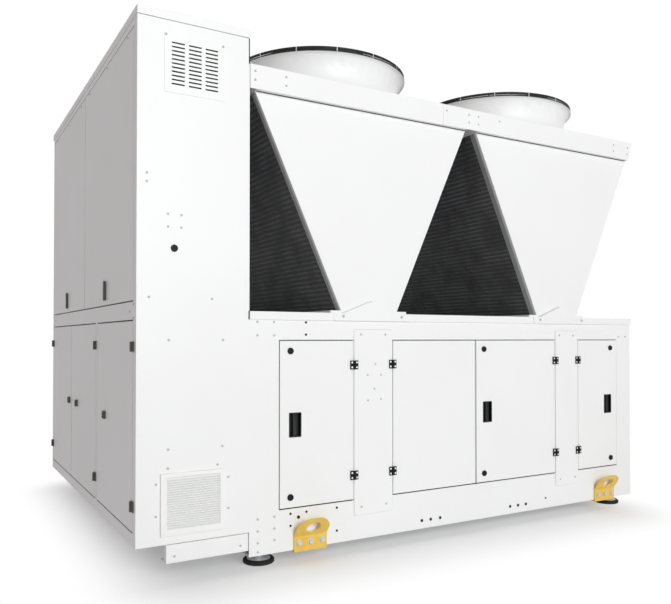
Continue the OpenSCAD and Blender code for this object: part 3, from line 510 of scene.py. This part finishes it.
# four screws in each hinge: two in the fixed leaf, two in the one that swings
hingeLook = dict(frontEdge=0.123, endEdge=0.113, across=0.0145, up=0.0125, endLift=0.003,
                 slack=0.01, radius=0.0050, high=0.0014)
hingeScrew = makePanHead(hingeLook["radius"], hingeLook["high"])
fixedScrews, fixedEndScrews = [], []
for joint in joints:
    low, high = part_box(joint["child"].replace("_leaf", ""))
    x, y = joint["pos_m"][:2]
    atEnd = "end_door" in joint["name"]
    edge = hingeLook["endEdge" if atEnd else "frontEdge"]
    heights = [z + up for z in (low.z + edge, high.z - edge) for up in (-hingeLook["up"], hingeLook["up"])]
    doorIsBeyond = low.y > y - hingeLook["slack"] if atEnd else low.x > x - hingeLook["slack"]
    towardsDoor = hingeLook["across"] if doorIsBeyond else -hingeLook["across"]
    if atEnd:
        leafX = x + hingeLook["endLift"]
        swinging = [onWall("left", leafX, y + towardsDoor, z) for z in heights]
        fixedEndScrews += [onWall("left", leafX, y - towardsDoor, z) for z in heights]
    else:
        swinging = [onWall("front", x + towardsDoor, y, z) for z in heights]
        fixedScrews += [onWall("front", x - towardsDoor, y, z) for z in heights]
        fixedScrews += [onWall("back", x + side * towardsDoor, -y, z) for z in heights for side in (1, -1)]
    # on the cabinet's end the screws take the grey nylon, painted paler as if lit by flare
    settle(copied(hingeScrew, swinging), joint["name"].replace("_hinge", "") + "_hingeScrews",
           "grey_nylon" if atEnd else "bright_zinc", joint["child"])
settle(copied(hingeScrew, fixedScrews), "fixedLeafScrews", "bright_zinc", "housing")
settle(copied(hingeScrew, fixedEndScrews), "fixedEndLeafScrews", "grey_nylon", "housing")
discard(hingeScrew)
print("hinge screws set on", len(joints), "doors")


# cup handles get a moulded bezel and a grip bar; locks get a collar
cupLook = dict(
    wide=0.066, high=0.119, deep=0.018, inFromEdge=0.082, centre=0.399,
    bezel=0.0005, rim=0.0045, proud=0.002,
    rise=0.4, riseHigh=0.3, fall=0.6, fallDeep=0.5,  # shares of the rim's width and of its height
    bar=0.022, barLong=0.92, barDeep=0.7, hollowRim=0.004, hollowDeep=0.004,
    sharpAngle=1.0, roundOff=0.0012,
)
lockLook = dict(inFromEdge=0.056, fromEnds=0.049, radius=0.0165, bore=0.0152, high=0.0035,
                side=0.6, lip=0.4)  # the last two are shares of the height


def openThrough(piece):
    # the selected face and the back face go, and their loops are bridged into a ring
    bpy.ops.mesh.delete(type="FACE")
    pick(piece, "FACE", lambda face: abs(face.normal.z) > facing and len(face.verts) > manySided)
    bpy.ops.mesh.delete(type="ONLY_FACE")
    bpy.ops.mesh.select_mode(type="EDGE")
    bpy.ops.mesh.select_all(action="DESELECT")
    bpy.ops.mesh.select_non_manifold()
    bpy.ops.mesh.bridge_edge_loops()
    takeUp([piece])


def makeBezel(look):
    bezel = startPlate(look["wide"] + 2 * look["bezel"], look["high"] + 2 * look["bezel"],
                       look["rim"], segments=3, thick=look["proud"])
    inset(look["rim"] * look["rise"], depth=look["proud"] * look["riseHigh"])
    inset(look["rim"] * look["fall"], depth=-look["proud"] * look["fallDeep"])
    extrude(z=-look["proud"])
    openThrough(bezel)
    # the grip bar runs down the middle of the cup and is hollowed for the fingers
    bar = startMesh("cube", size=1.0, location=(0, 0, -look["deep"] / 2))
    bpy.ops.transform.resize(value=(look["bar"], look["high"] * look["barLong"],
                                    look["deep"] * look["barDeep"]))
    pick(bar, "FACE", lambda face: face.normal.z > facing)
    inset(look["hollowRim"])
    extrude(z=-look["hollowDeep"])
    pick(bar, "EDGE", lambda edge: not edge.is_boundary and edge.calc_face_angle() > look["sharpAngle"])
    roundEdges(look["roundOff"], segments=2)
    return joined([bezel, bar])


def makeCollar(look):
    halfWall = (look["radius"] - look["bore"]) / 2
    collar = startDisc(vertices=28, radius=look["radius"])
    extrude(z=look["high"] * look["side"])
    inset(halfWall, depth=look["high"] * look["lip"])
    inset(halfWall)
    extrude(z=-look["high"])
    openThrough(collar)
    return collar


bezel, collar = makeBezel(cupLook), makeCollar(lockLook)
for joint in joints:
    # the second front door has no handle
    if "front_door" not in joint["name"] or joint["name"].startswith("front_door_2"):
        continue
    door = joint["child"].replace("_leaf", "")
    low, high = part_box(door)
    hingeOnLeft = abs(joint["pos_m"][0] - low.x) < abs(joint["pos_m"][0] - high.x)
    free, inwards = (high.x, -1) if hingeOnLeft else (low.x, 1)
    cupSpot = (free + inwards * cupLook["inFromEdge"], low.z + cupLook["centre"])
    lockSpots = [(free + inwards * lockLook["inFromEdge"], z)
                 for z in (low.z + lockLook["fromEnds"], high.z - lockLook["fromEnds"])]
    for side, sideY, body in (("front", low.y, joint["child"]), ("back", -low.y, "housing")):
        pieces = [copied(bezel, [onWall(side, cupSpot[0], sideY, cupSpot[1])]),
                  copied(collar, [onWall(side, x, sideY, z) for x, z in lockSpots])]
        settle(joined(pieces), door + "_" + side + "HandleTrim", "black_guard", body)
discard(bezel)
print("handle trims and lock collars set")

# a round lock in the cabinet's front, with its own collar
cabinetLockLook = dict(x=-1.471, z=1.494, radius=0.0150, high=0.006, rim=0.003, rise=0.001,
                       slot=0.006, slotDeep=0.004)
core = startDisc(vertices=28, radius=cabinetLockLook["radius"])
extrude(z=cabinetLockLook["high"])
inset(cabinetLockLook["rim"], depth=cabinetLockLook["rise"])
inset(cabinetLockLook["slot"])
extrude(z=-cabinetLockLook["slotDeep"])
core = joined([core, copied(collar, [Matrix.Identity(4)])])
cabinetLock = copied(core, [onWall("front", cabinetLockLook["x"], frontY, cabinetLockLook["z"])])
settle(cabinetLock, "cabinetLock", "black_fittings", "housing")
discard(core, collar)

# lifting lugs are held by three hex bolts with washers
boltLook = dict(spread=0.064, z=0.097, lugThick=0.010,
                washer=0.0155, washerHigh=0.003, washerEdge=0.0012, washerRise=0.0005,
                head=0.0125, headHigh=0.008, side=0.85, dome=0.1, domeHigh=0.15, dish=0.4, dishDeep=0.0006)


def makeHexBolt(look):
    washer = startDisc(vertices=24, radius=look["washer"])
    extrude(z=look["washerHigh"])
    inset(look["washerEdge"], depth=look["washerRise"])
    takeUp([washer])
    head = startDisc(vertices=6, radius=look["head"], location=(0, 0, look["washerHigh"]))
    extrude(z=look["headHigh"] * look["side"])
    inset(look["head"] * look["dome"], depth=look["headHigh"] * look["domeHigh"])
    inset(look["head"] * look["dish"], depth=-look["dishDeep"])
    return joined([washer, head])


bolt = makeHexBolt(boltLook)
mounts = frame["record"]["mounts"]
lugY = frontY - boltLook["lugThick"]
lugX = sorted({round(mount["pos_m"][0], 4) for mount in mounts if "lifting" in mount["name"]})
boltSpots = [(x + k * boltLook["spread"], boltLook["z"]) for x in lugX for k in (-1, 0, 1)]
settle(copied(bolt, bothSides(boltSpots, lugY)), "lugBolts", "galvanised_plate", "housing")

# smaller bolts hold the foot gussets of the coil modules
gussetLook = dict(offsets=[(-0.180, 1.204), (0.180, 1.204)], size=0.5)
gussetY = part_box("foot_gussets")[0].y
gussetSpots = [(x + dx, z) for x in moduleX for dx, z in gussetLook["offsets"]]
gussetPlaces = [place @ Matrix.Scale(gussetLook["size"], 4) for place in bothSides(gussetSpots, gussetY)]
settle(copied(bolt, gussetPlaces), "gussetBolts", "grey_floor_sheet", "housing")

# lock nuts on the studs of the feet
nutLook = dict(radius=0.026, low=0.044, high=0.060, chamfer=0.003, crown=0.002)
nut = startDisc(vertices=6, radius=nutLook["radius"])
extrude(z=nutLook["high"] - nutLook["low"])
inset(nutLook["chamfer"], depth=nutLook["crown"])
takeUp([nut])
feet = [mount["pos_m"] for mount in mounts if "foot" in mount["name"]]
nutPlaces = [Matrix.Translation((x, y, nutLook["low"])) for x, y, z in feet]
settle(copied(nut, nutPlaces), "footNuts", "bright_zinc", "housing")
discard(screw, bolt, nut)
print("bolts and nuts set on", len(lugX) * 2, "lugs and", len(feet), "feet")


# pale grey seals stand in the gaps round the doors, a little behind their faces
sealLook = dict(gap=0.006, wide=0.0032, behind=0.008, deep=0.014,
                free=0.003, meetingBehind=0.003, nose=0.0012)


def makeSeal(width, height, look):
    seal = startMesh("plane", size=1.0)
    bpy.ops.transform.resize(value=(width, height, 1))
    inset(look["wide"])
    bpy.ops.mesh.delete(type="FACE")
    bpy.ops.mesh.select_all(action="SELECT")
    extrude(z=-look["deep"])
    takeUp([seal])
    return seal


def sealRound(nodes, side, name):
    boxes = [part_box(node) for node in nodes]
    axis = 0 if side in ("front", "back") else 1
    left, right = min(low[axis] for low, high in boxes), max(high[axis] for low, high in boxes)
    low, high = boxes[0][0].z, boxes[0][1].z
    wide, tall = right - left + 2 * sealLook["gap"], high - low + 2 * sealLook["gap"]
    across, up = (left + right) / 2, (low + high) / 2
    seal = makeSeal(wide, tall, sealLook)
    wall = frontY + sealLook["behind"]
    spot = dict(front=(across, wall, up), back=(across, -wall, up),
                left=(cabinetX + sealLook["behind"], across, up))[side]
    seal.matrix_world = onWall(side, *spot)
    return settle(seal, name, "grey_floor_sheet", "housing")


# doors that meet share a seal
frontGroups = [["front_door_1"], ["front_door_2", "front_door_3"], ["front_door_4"]]
endGroups = [["end_door_1"], ["end_door_2", "end_door_3"]]
for group in frontGroups:
    for side in ("front", "back"):
        sealRound(group, side, group[0] + "_" + side + "Seal")
for group in endGroups:
    sealRound(group, "left", group[0] + "_seal")


# white strips close the gap on the hinge side of three doors and at the last door's free edge
closerLook = dict(wide=0.0048, behind=0.0015, deep=0.012, roundOff=0.0008,
                  edges=[("front_door_1", "right"), ("front_door_3", "right"),
                         ("front_door_4", "left"), ("front_door_4", "right")])
for node, edge in closerLook["edges"]:
    low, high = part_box(node)
    inFromGap = sealLook["gap"] - closerLook["wide"] / 2
    x = high.x + inFromGap if edge == "right" else low.x - inFromGap
    closer = makeBar((x, frontY + closerLook["behind"] + closerLook["deep"] / 2, (low.z + high.z) / 2),
                     (closerLook["wide"], closerLook["deep"], high.z - low.z), closerLook["roundOff"])
    settle(closer, node + "_" + edge + "Closer", "white_sheet_steel", "housing")

# black strips in the gaps under the doors, and in the level gaps of the cabinet's end, paint the shade in
# these gaps
gapShadeLook = dict(high=0.0036, behind=0.002, deep=0.010, up=0.0018, roundOff=0.0008)
gapShadeIn = gapShadeLook["behind"] + gapShadeLook["deep"] / 2
gapShadeStrips = []
for group in frontGroups:
    left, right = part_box(group[0])[0].x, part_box(group[-1])[1].x
    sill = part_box(group[0])[0].z - sealLook["gap"]
    for side in (-1, 1):
        gapShadeStrips.append(makeBar(((left + right) / 2, side * (-frontY - gapShadeIn), sill + gapShadeLook["up"]),
                              (right - left, gapShadeLook["deep"], gapShadeLook["high"]), gapShadeLook["roundOff"]))
for group in endGroups + [["upper_panels"]]:
    near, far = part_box(group[0])[0].y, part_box(group[-1])[1].y
    low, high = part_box(group[0])[0].z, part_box(group[0])[1].z
    levels = [low - sealLook["gap"] + gapShadeLook["up"], high + sealLook["gap"] - gapShadeLook["up"]]
    if group == ["upper_panels"]:
        levels = [low + gapShadeLook["up"]]  # its gap lies inside its own box
    for level in levels:
        gapShadeStrips.append(makeBar((cabinetX + gapShadeIn, (near + far) / 2, level),
                              (gapShadeLook["deep"], far - near, gapShadeLook["high"]), gapShadeLook["roundOff"]))
settle(joined(gapShadeStrips), "doorSweeps", "black_rubber", "housing")


def makeMeetingStrip(width, height, look):
    # a flat strip with a rounded nose
    strip = startMesh("cube", size=1.0)
    bpy.ops.transform.resize(value=(width, height, look["deep"]))
    pick(strip, "EDGE", lambda edge: run(edge, 1) > height / 2 and edge.verts[0].co.z > 0)
    roundEdges(look["nose"], segments=3)
    takeUp([strip])
    return strip


# where two doors meet, the first one carries a strip that fills most of the gap
meetingDepth = sealLook["meetingBehind"] + sealLook["deep"] / 2
low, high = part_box("front_door_2")
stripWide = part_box("front_door_3")[0].x - high.x - sealLook["free"]
strip = makeMeetingStrip(stripWide, high.z - low.z, sealLook)
stripX = high.x + stripWide / 2
settle(copied(strip, [onWall("front", stripX, frontY + meetingDepth, (low.z + high.z) / 2)]),
       "front_door_2_meetingStrip", "grey_floor_sheet", "front_door_2_leaf")
settle(copied(strip, [onWall("back", stripX, -frontY - meetingDepth, (low.z + high.z) / 2)]),
       "back_door_2_meetingStrip", "grey_floor_sheet", "housing")
discard(strip)
low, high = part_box("end_door_2")
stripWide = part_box("end_door_3")[0].y - high.y - sealLook["free"]
strip = makeMeetingStrip(stripWide, high.z - low.z, sealLook)
strip.matrix_world = onWall("left", cabinetX + meetingDepth, high.y + stripWide / 2, (low.z + high.z) / 2)
settle(strip, "end_door_2_meetingStrip", "grey_floor_sheet", "end_door_2_leaf")
print("door seals set")

# a dark strip lies on the cabinet's front edge, at its joint with the base's lip and with the fan deck
edgeStripLook = dict(wide=0.005, proud=0.0016, roundOff=0.0008, spans=[(1.181, 1.222), (2.392, 2.512)])
trims = []
for low, high in edgeStripLook["spans"]:
    centre = (baseX - edgeStripLook["wide"] / 2, frontY - edgeStripLook["proud"] / 2, (low + high) / 2)
    edgeStrip = startBar(centre, (edgeStripLook["wide"], edgeStripLook["proud"], high - low))
    pick(edgeStrip, "EDGE", lambda edge: all(vert.co.y < 0 for vert in edge.verts))
    roundEdges(edgeStripLook["roundOff"], segments=2)
    takeUp([edgeStrip])
    trims.append(edgeStrip)
settle(joined(trims), "cabinetEdgeTrim", "black_rubber", "housing")


# a black strip between the cabinet and its bearers
bearerLow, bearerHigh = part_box("cabinet_bearers")
stripLook = dict(high=0.0042, deep=0.020, behind=0.004, inEnds=0.004, under=0.0004, roundOff=0.0012)
stripY = abs(bearerLow.y) - stripLook["behind"] - stripLook["deep"] / 2
stripZ = bearerHigh.z - stripLook["high"] / 2 - stripLook["under"]
stripSize = (bearerHigh.x - bearerLow.x - 2 * stripLook["inEnds"], stripLook["deep"], stripLook["high"])
bearerStrips = [makeBar(((bearerLow.x + bearerHigh.x) / 2, side * stripY, stripZ), stripSize,
                        stripLook["roundOff"]) for side in (-1, 1)]
settle(joined(bearerStrips), "bearerStrips", "black_rubber", "housing")

# a folded cap closes the outer end of each bearer
bearerCapLook = dict(thick=0.002, deep=0.040, low=0.0005, high=0.006, clear=0.0003, bend=0.004)
capY = abs(bearerLow.y) - bearerCapLook["clear"] - bearerCapLook["deep"] / 2
capSize = (bearerCapLook["thick"], bearerCapLook["deep"],
           bearerHigh.z - bearerLow.z - bearerCapLook["low"] - bearerCapLook["high"])
bearerCaps = []
for side in (-1, 1):
    centre = (bearerLow.x + bearerCapLook["clear"] + bearerCapLook["thick"] / 2, side * capY,
              (bearerLow.z + bearerCapLook["low"] + bearerHigh.z - bearerCapLook["high"]) / 2)
    bearerCap = startBar(centre, capSize)
    pick(bearerCap, "EDGE", lambda edge: run(edge, 0) > bearerCapLook["thick"] / 2)
    roundEdges(bearerCapLook["bend"], segments=3)
    takeUp([bearerCap])
    bearerCaps.append(bearerCap)
settle(joined(bearerCaps), "bearerCaps", "white_sheet_steel", "housing")


# a black bead along the top of each V panel, under the fan deck, paints the shade under the deck's overhang
beadLook = dict(halfLong=0.646, thick=0.0032, clear=0.0003, roundOff=0.0009)
deckLow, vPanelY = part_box("fan_deck_1")[0].z, -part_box("v_end_panels")[0].y
beadIn = beadLook["thick"] / 2 + beadLook["clear"]
beads = [makeBar((x, side * (vPanelY + beadIn), deckLow - beadIn),
                 (2 * beadLook["halfLong"], beadLook["thick"], beadLook["thick"]), beadLook["roundOff"])
         for x in moduleX for side in (-1, 1)]
settle(joined(beads), "sealantBeads", "black_rubber", "housing")


# fan guards of round wire: closely set side rings, a grid of top rings on spokes, a pressed centre plate
guardLook = dict(
    wire=0.0027, thin=0.0021, wireSides=6, merge=0.0003, inset=0.0054,
    sides=[0.0030, 0.0081, 0.0149, 0.0202, 0.0250], sideSteps=96,
    topStep=0.029, underTop=0.0004, topSteps=32, addedSteps=2,  # wider rings have more steps
    spokes=8, spokeFrom=0.8, tipLong=0.004, tipSize=0.6,
    plate=0.110, plateHigh=0.004, plateRim=0.012, plateRise=0.0015, plateFlat=0.030,
    dishRim=0.008, dishDeep=0.002,
    clips=15, firstClip=205, clipWide=0.004, clipThick=0.0016, clipShort=0.004,
    clipDown=0.001, clipRound=0.0005,
)
guardLow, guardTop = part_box("fan_guards")[0].z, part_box("fan_guards")[1].z


def makeRing(radius, height, wire, steps):
    # a small circle, spun round the fan's axis
    ring = startMesh("circle", vertices=guardLook["wireSides"], radius=wire,
                     location=(radius, 0, height), rotation=(math.pi / 2, 0, 0))
    bpy.ops.mesh.spin(steps=steps, angle=2 * math.pi, center=(0, 0, height), axis=(0, 0, 1))
    bpy.ops.mesh.select_all(action="SELECT")
    bpy.ops.mesh.remove_doubles(threshold=guardLook["merge"])
    takeUp([ring])
    return ring


def makeSpoke(look, reach, height):
    start = look["plate"] * look["spokeFrom"]
    spoke = startDisc(vertices=look["wireSides"], radius=look["wire"],
                      location=(start, 0, height), rotation=(0, math.pi / 2, 0))
    extrude(x=reach - start - look["tipLong"])
    extrude(x=look["tipLong"])
    bpy.ops.transform.resize(value=(1, look["tipSize"], look["tipSize"]),
                             center_override=(reach, 0, height))
    takeUp([spoke])
    return spoke


def makeCentrePlate(look, top):
    plate = startDisc(vertices=48, radius=look["plate"], location=(0, 0, top - look["plateHigh"]))
    extrude(z=look["plateHigh"])
    inset(look["plateRim"], depth=look["plateRise"])
    inset(look["plateFlat"])
    inset(look["dishRim"], depth=-look["dishDeep"])
    takeUp([plate])
    return plate


def makeClip(look, ringRadius):
    # a flat clip up the side rings, with its top folded in over the wire
    clipHigh = guardTop - guardLow - look["clipShort"]
    clip = startMesh("cube", size=1.0, location=(ringRadius + look["wire"] + look["clipThick"] / 2, 0,
                                                 (guardLow + guardTop) / 2 - look["clipDown"]))
    bpy.ops.transform.resize(value=(look["clipThick"], look["clipWide"], clipHigh))
    pick(clip, "FACE", lambda face: face.normal.z > facing)
    extrude(x=-2 * look["wire"])
    pick(clip, "EDGE", lambda edge: run(edge, 2) > clipHigh / 2)
    roundEdges(look["clipRound"], segments=2)
    return clip


ringRadius = lipRadius - guardLook["inset"]
topHeight = guardTop - guardLook["wire"] - guardLook["underTop"]
guardParts = [makeRing(ringRadius, guardLow + up, guardLook["wire"], guardLook["sideSteps"])
              for up in guardLook["sides"]]
ringCount = int((ringRadius - guardLook["plate"]) / guardLook["topStep"])
for k in range(1, ringCount):
    radius = guardLook["plate"] + k * (ringRadius - guardLook["plate"]) / ringCount
    steps = guardLook["topSteps"] + guardLook["addedSteps"] * k
    guardParts.append(makeRing(radius, topHeight, guardLook["thin"], steps))
spoke = makeSpoke(guardLook, ringRadius, topHeight - guardLook["wire"] - guardLook["thin"])
guardParts.append(copied(spoke, [Matrix.Rotation(turn, 4, "Z") for turn in turnsOf(guardLook["spokes"])]))
discard(spoke)
guardParts.append(makeCentrePlate(guardLook, topHeight))
guard = joined(guardParts)
clip = makeClip(guardLook, ringRadius)
clipTurns = turnsOf(guardLook["clips"], math.radians(guardLook["firstClip"]))
clips = copied(clip, [Matrix.Rotation(turn, 4, "Z") for turn in clipTurns])
discard(clip)
for index, (x, y) in enumerate(fanCentres, 1):
    place = Matrix.Translation((x, y, 0))
    settle(copied(guard, [place]), "fanGuard%d" % index, "black_guard", "housing")
    settle(copied(clips, [place]), "guardClips%d" % index, "galvanised_plate", "housing")
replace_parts(bpy.data.objects["fanGuard1"], "fan_guards")
discard(guard, clips)
print("fan guards spun:", len(fanCentres))

mergeWithin = 0.0002  # corners of a node's triangles that are this close are one


def smoothed(node, name, finish, angle, keep=None):
    # the CAD form or some of its faces, its triangles merged and its curves shaded smooth
    piece = frame["nodes"][node].copy()
    piece.data = frame["nodes"][node].data.copy()
    bpy.context.scene.collection.objects.link(piece)
    piece.parent = None
    piece.matrix_world = Matrix.Identity(4)
    takeUp([piece])
    bpy.ops.object.mode_set(mode="EDIT")
    bpy.ops.mesh.select_all(action="SELECT")
    bpy.ops.mesh.remove_doubles(threshold=mergeWithin)
    if keep:
        pick(piece, "FACE", lambda face: not keep(face.calc_center_median()))
        bpy.ops.mesh.delete(type="FACE")
    return settle(piece, name, finish, "housing", angle)


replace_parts(smoothed("fan_rotors", "fanRotors", "dark_blades", angle=50), "fan_rotors")
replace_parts(smoothed("fan_shrouds", "fanShrouds", "white_sheet_steel", angle=40), "fan_shrouds")
# the fixed hinge leaves are black on the base; on the cabinet's end they are painted a paler grey, a
# painted lightening as if flare lit that shaded end
endReach = 0.1  # leaves within this of the end are the end's
endLimit = cabinetX + endReach
smoothed("hinge_leaves", "endHingeLeaves", "grey_nylon", angle=35, keep=lambda spot: spot.x <= endLimit)
frontLeaves = smoothed("hinge_leaves", "frontHingeLeaves", "black_fittings", angle=35,
                       keep=lambda spot: spot.x > endLimit)
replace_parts(frontLeaves, "hinge_leaves")
print("rotors, shrouds and hinge leaves smoothed")

# the stage: a pale floor that runs out to white, one wide soft lamp in front, an even sky
stageLook = dict(
    floorSize=60.0, fadeFrom=0.0, fadeTo=0.55, nearWhite=0.26, shadowFrom=-1.33, shadowTo=1.25,
    floorColour="#FBFBFB", sky=0.30, skyColour="#FFF5F7", lampColour="#FAFFFE",
    lampPlace=(-0.7, -13.0, 4.6), lampAim=(0.2, 0.0, 1.3), lampSize=7.0, lampPower=960.0,
)


def backgroundShows(tree):
    # 1 where the background is looked at, straight or in gloss or glass, and 0 where it only lights
    rays = addNode(tree, "ShaderNodeLightPath")
    glossOrGlass = addNode(tree, "ShaderNodeMath", {"operation": "MAXIMUM"},
                           {0: rays.outputs["Is Glossy Ray"], 1: rays.outputs["Is Transmission Ray"]})
    shows = addNode(tree, "ShaderNodeMath", {"operation": "MAXIMUM"},
                    {0: rays.outputs["Is Camera Ray"], 1: glossOrGlass.outputs["Value"]})
    return shows.outputs["Value"]


world = bpy.data.worlds.new("studioSky")
bpy.context.scene.world = world
world.use_nodes = True
worldTree = world.node_tree
worldTree.nodes.clear()
skyLight = addNode(worldTree, "ShaderNodeBackground",
                   {"Color": linear(stageLook["skyColour"]), "Strength": stageLook["sky"]})
skySeen = addNode(worldTree, "ShaderNodeBackground", {"Color": plainWhite, "Strength": 1.0})
skyMix = addNode(worldTree, "ShaderNodeMixShader",
                 links={0: backgroundShows(worldTree), 1: skyLight.outputs[0], 2: skySeen.outputs[0]})
addNode(worldTree, "ShaderNodeOutputWorld", links={"Surface": skyMix.outputs[0]})

bpy.ops.object.select_all(action="DESELECT")
bpy.ops.mesh.primitive_plane_add(size=stageLook["floorSize"])
floor = bpy.context.object
floor.name = "studioFloor"
floorMaterial = bpy.data.materials.new("paleFloor")
floorMaterial.use_nodes = True
floorTree = floorMaterial.node_tree
floorTree.nodes.clear()
floorCoords = addNode(floorTree, "ShaderNodeTexCoord").outputs["Object"]
# distance from a rectangle under the machine: near it the shadow shows, further out the floor is white
shadowMiddle = ((stageLook["shadowTo"] + stageLook["shadowFrom"]) / 2, 0, 0)
halfSize = ((stageLook["shadowTo"] - stageLook["shadowFrom"]) / 2, -frontY, 0)
centred = addNode(floorTree, "ShaderNodeVectorMath", {"operation": "SUBTRACT", 1: shadowMiddle},
                  {0: floorCoords})
mirrored = addNode(floorTree, "ShaderNodeVectorMath", {"operation": "ABSOLUTE"}, {0: centred.outputs[0]})
beyond = addNode(floorTree, "ShaderNodeVectorMath", {"operation": "SUBTRACT", 1: halfSize},
                 {0: mirrored.outputs[0]})
outside = addNode(floorTree, "ShaderNodeVectorMath", {"operation": "MAXIMUM", 1: (0, 0, 0)},
                  {0: beyond.outputs[0]})
away = addNode(floorTree, "ShaderNodeVectorMath", {"operation": "LENGTH"}, {0: outside.outputs[0]})
fade = addNode(floorTree, "ShaderNodeMapRange",
               {"interpolation_type": "SMOOTHSTEP", "From Min": stageLook["fadeFrom"],
                "From Max": stageLook["fadeTo"], "To Min": stageLook["nearWhite"]},
               {"Value": away.outputs["Value"]})
whiteShare = addNode(floorTree, "ShaderNodeMath", {"operation": "MULTIPLY"},
                     {0: fade.outputs["Result"], 1: backgroundShows(floorTree)})
matt = addNode(floorTree, "ShaderNodeBsdfDiffuse", {"Color": linear(stageLook["floorColour"])})
white = addNode(floorTree, "ShaderNodeEmission", {"Color": plainWhite, "Strength": 1.0})
floorMix = addNode(floorTree, "ShaderNodeMixShader",
                   links={0: whiteShare.outputs["Value"], 1: matt.outputs[0], 2: white.outputs[0]})
addNode(floorTree, "ShaderNodeOutputMaterial", links={"Surface": floorMix.outputs[0]})
floor.data.materials.append(floorMaterial)

lamp = bpy.data.objects.new("softLamp", bpy.data.lights.new("softLamp", "AREA"))
bpy.context.scene.collection.objects.link(lamp)
lamp.data.shape = "DISK"
lamp.data.size = stageLook["lampSize"]
lamp.data.energy = stageLook["lampPower"]
lamp.data.color = linear(stageLook["lampColour"])[:3]
lamp.location = stageLook["lampPlace"]
lampAim = Vector(stageLook["lampAim"]) - Vector(stageLook["lampPlace"])
lamp.rotation_euler = lampAim.to_track_quat("-Z", "Y").to_euler()

# the camera stands in front of the cabinet's corner, at chest height
cameraLook = dict(place=(-2.431, -4.2196, 1.0914), tilt=90.84, turn=-29.95, lens=37.89, sensor=36,
                  shiftX=0.0048, shiftY=0.0388)
camera = bpy.data.objects.new("camera", bpy.data.cameras.new("camera"))
bpy.context.scene.collection.objects.link(camera)
camera.location = cameraLook["place"]
camera.rotation_euler = (math.radians(cameraLook["tilt"]), 0, math.radians(cameraLook["turn"]))
camera.data.sensor_fit = "HORIZONTAL"
camera.data.sensor_width = cameraLook["sensor"]
camera.data.lens = cameraLook["lens"]
camera.data.shift_x = cameraLook["shiftX"]
camera.data.shift_y = cameraLook["shiftY"]
bpy.context.scene.camera = camera
bpy.context.scene.view_settings.view_transform = "Standard"
print("stage, lamp and camera set")
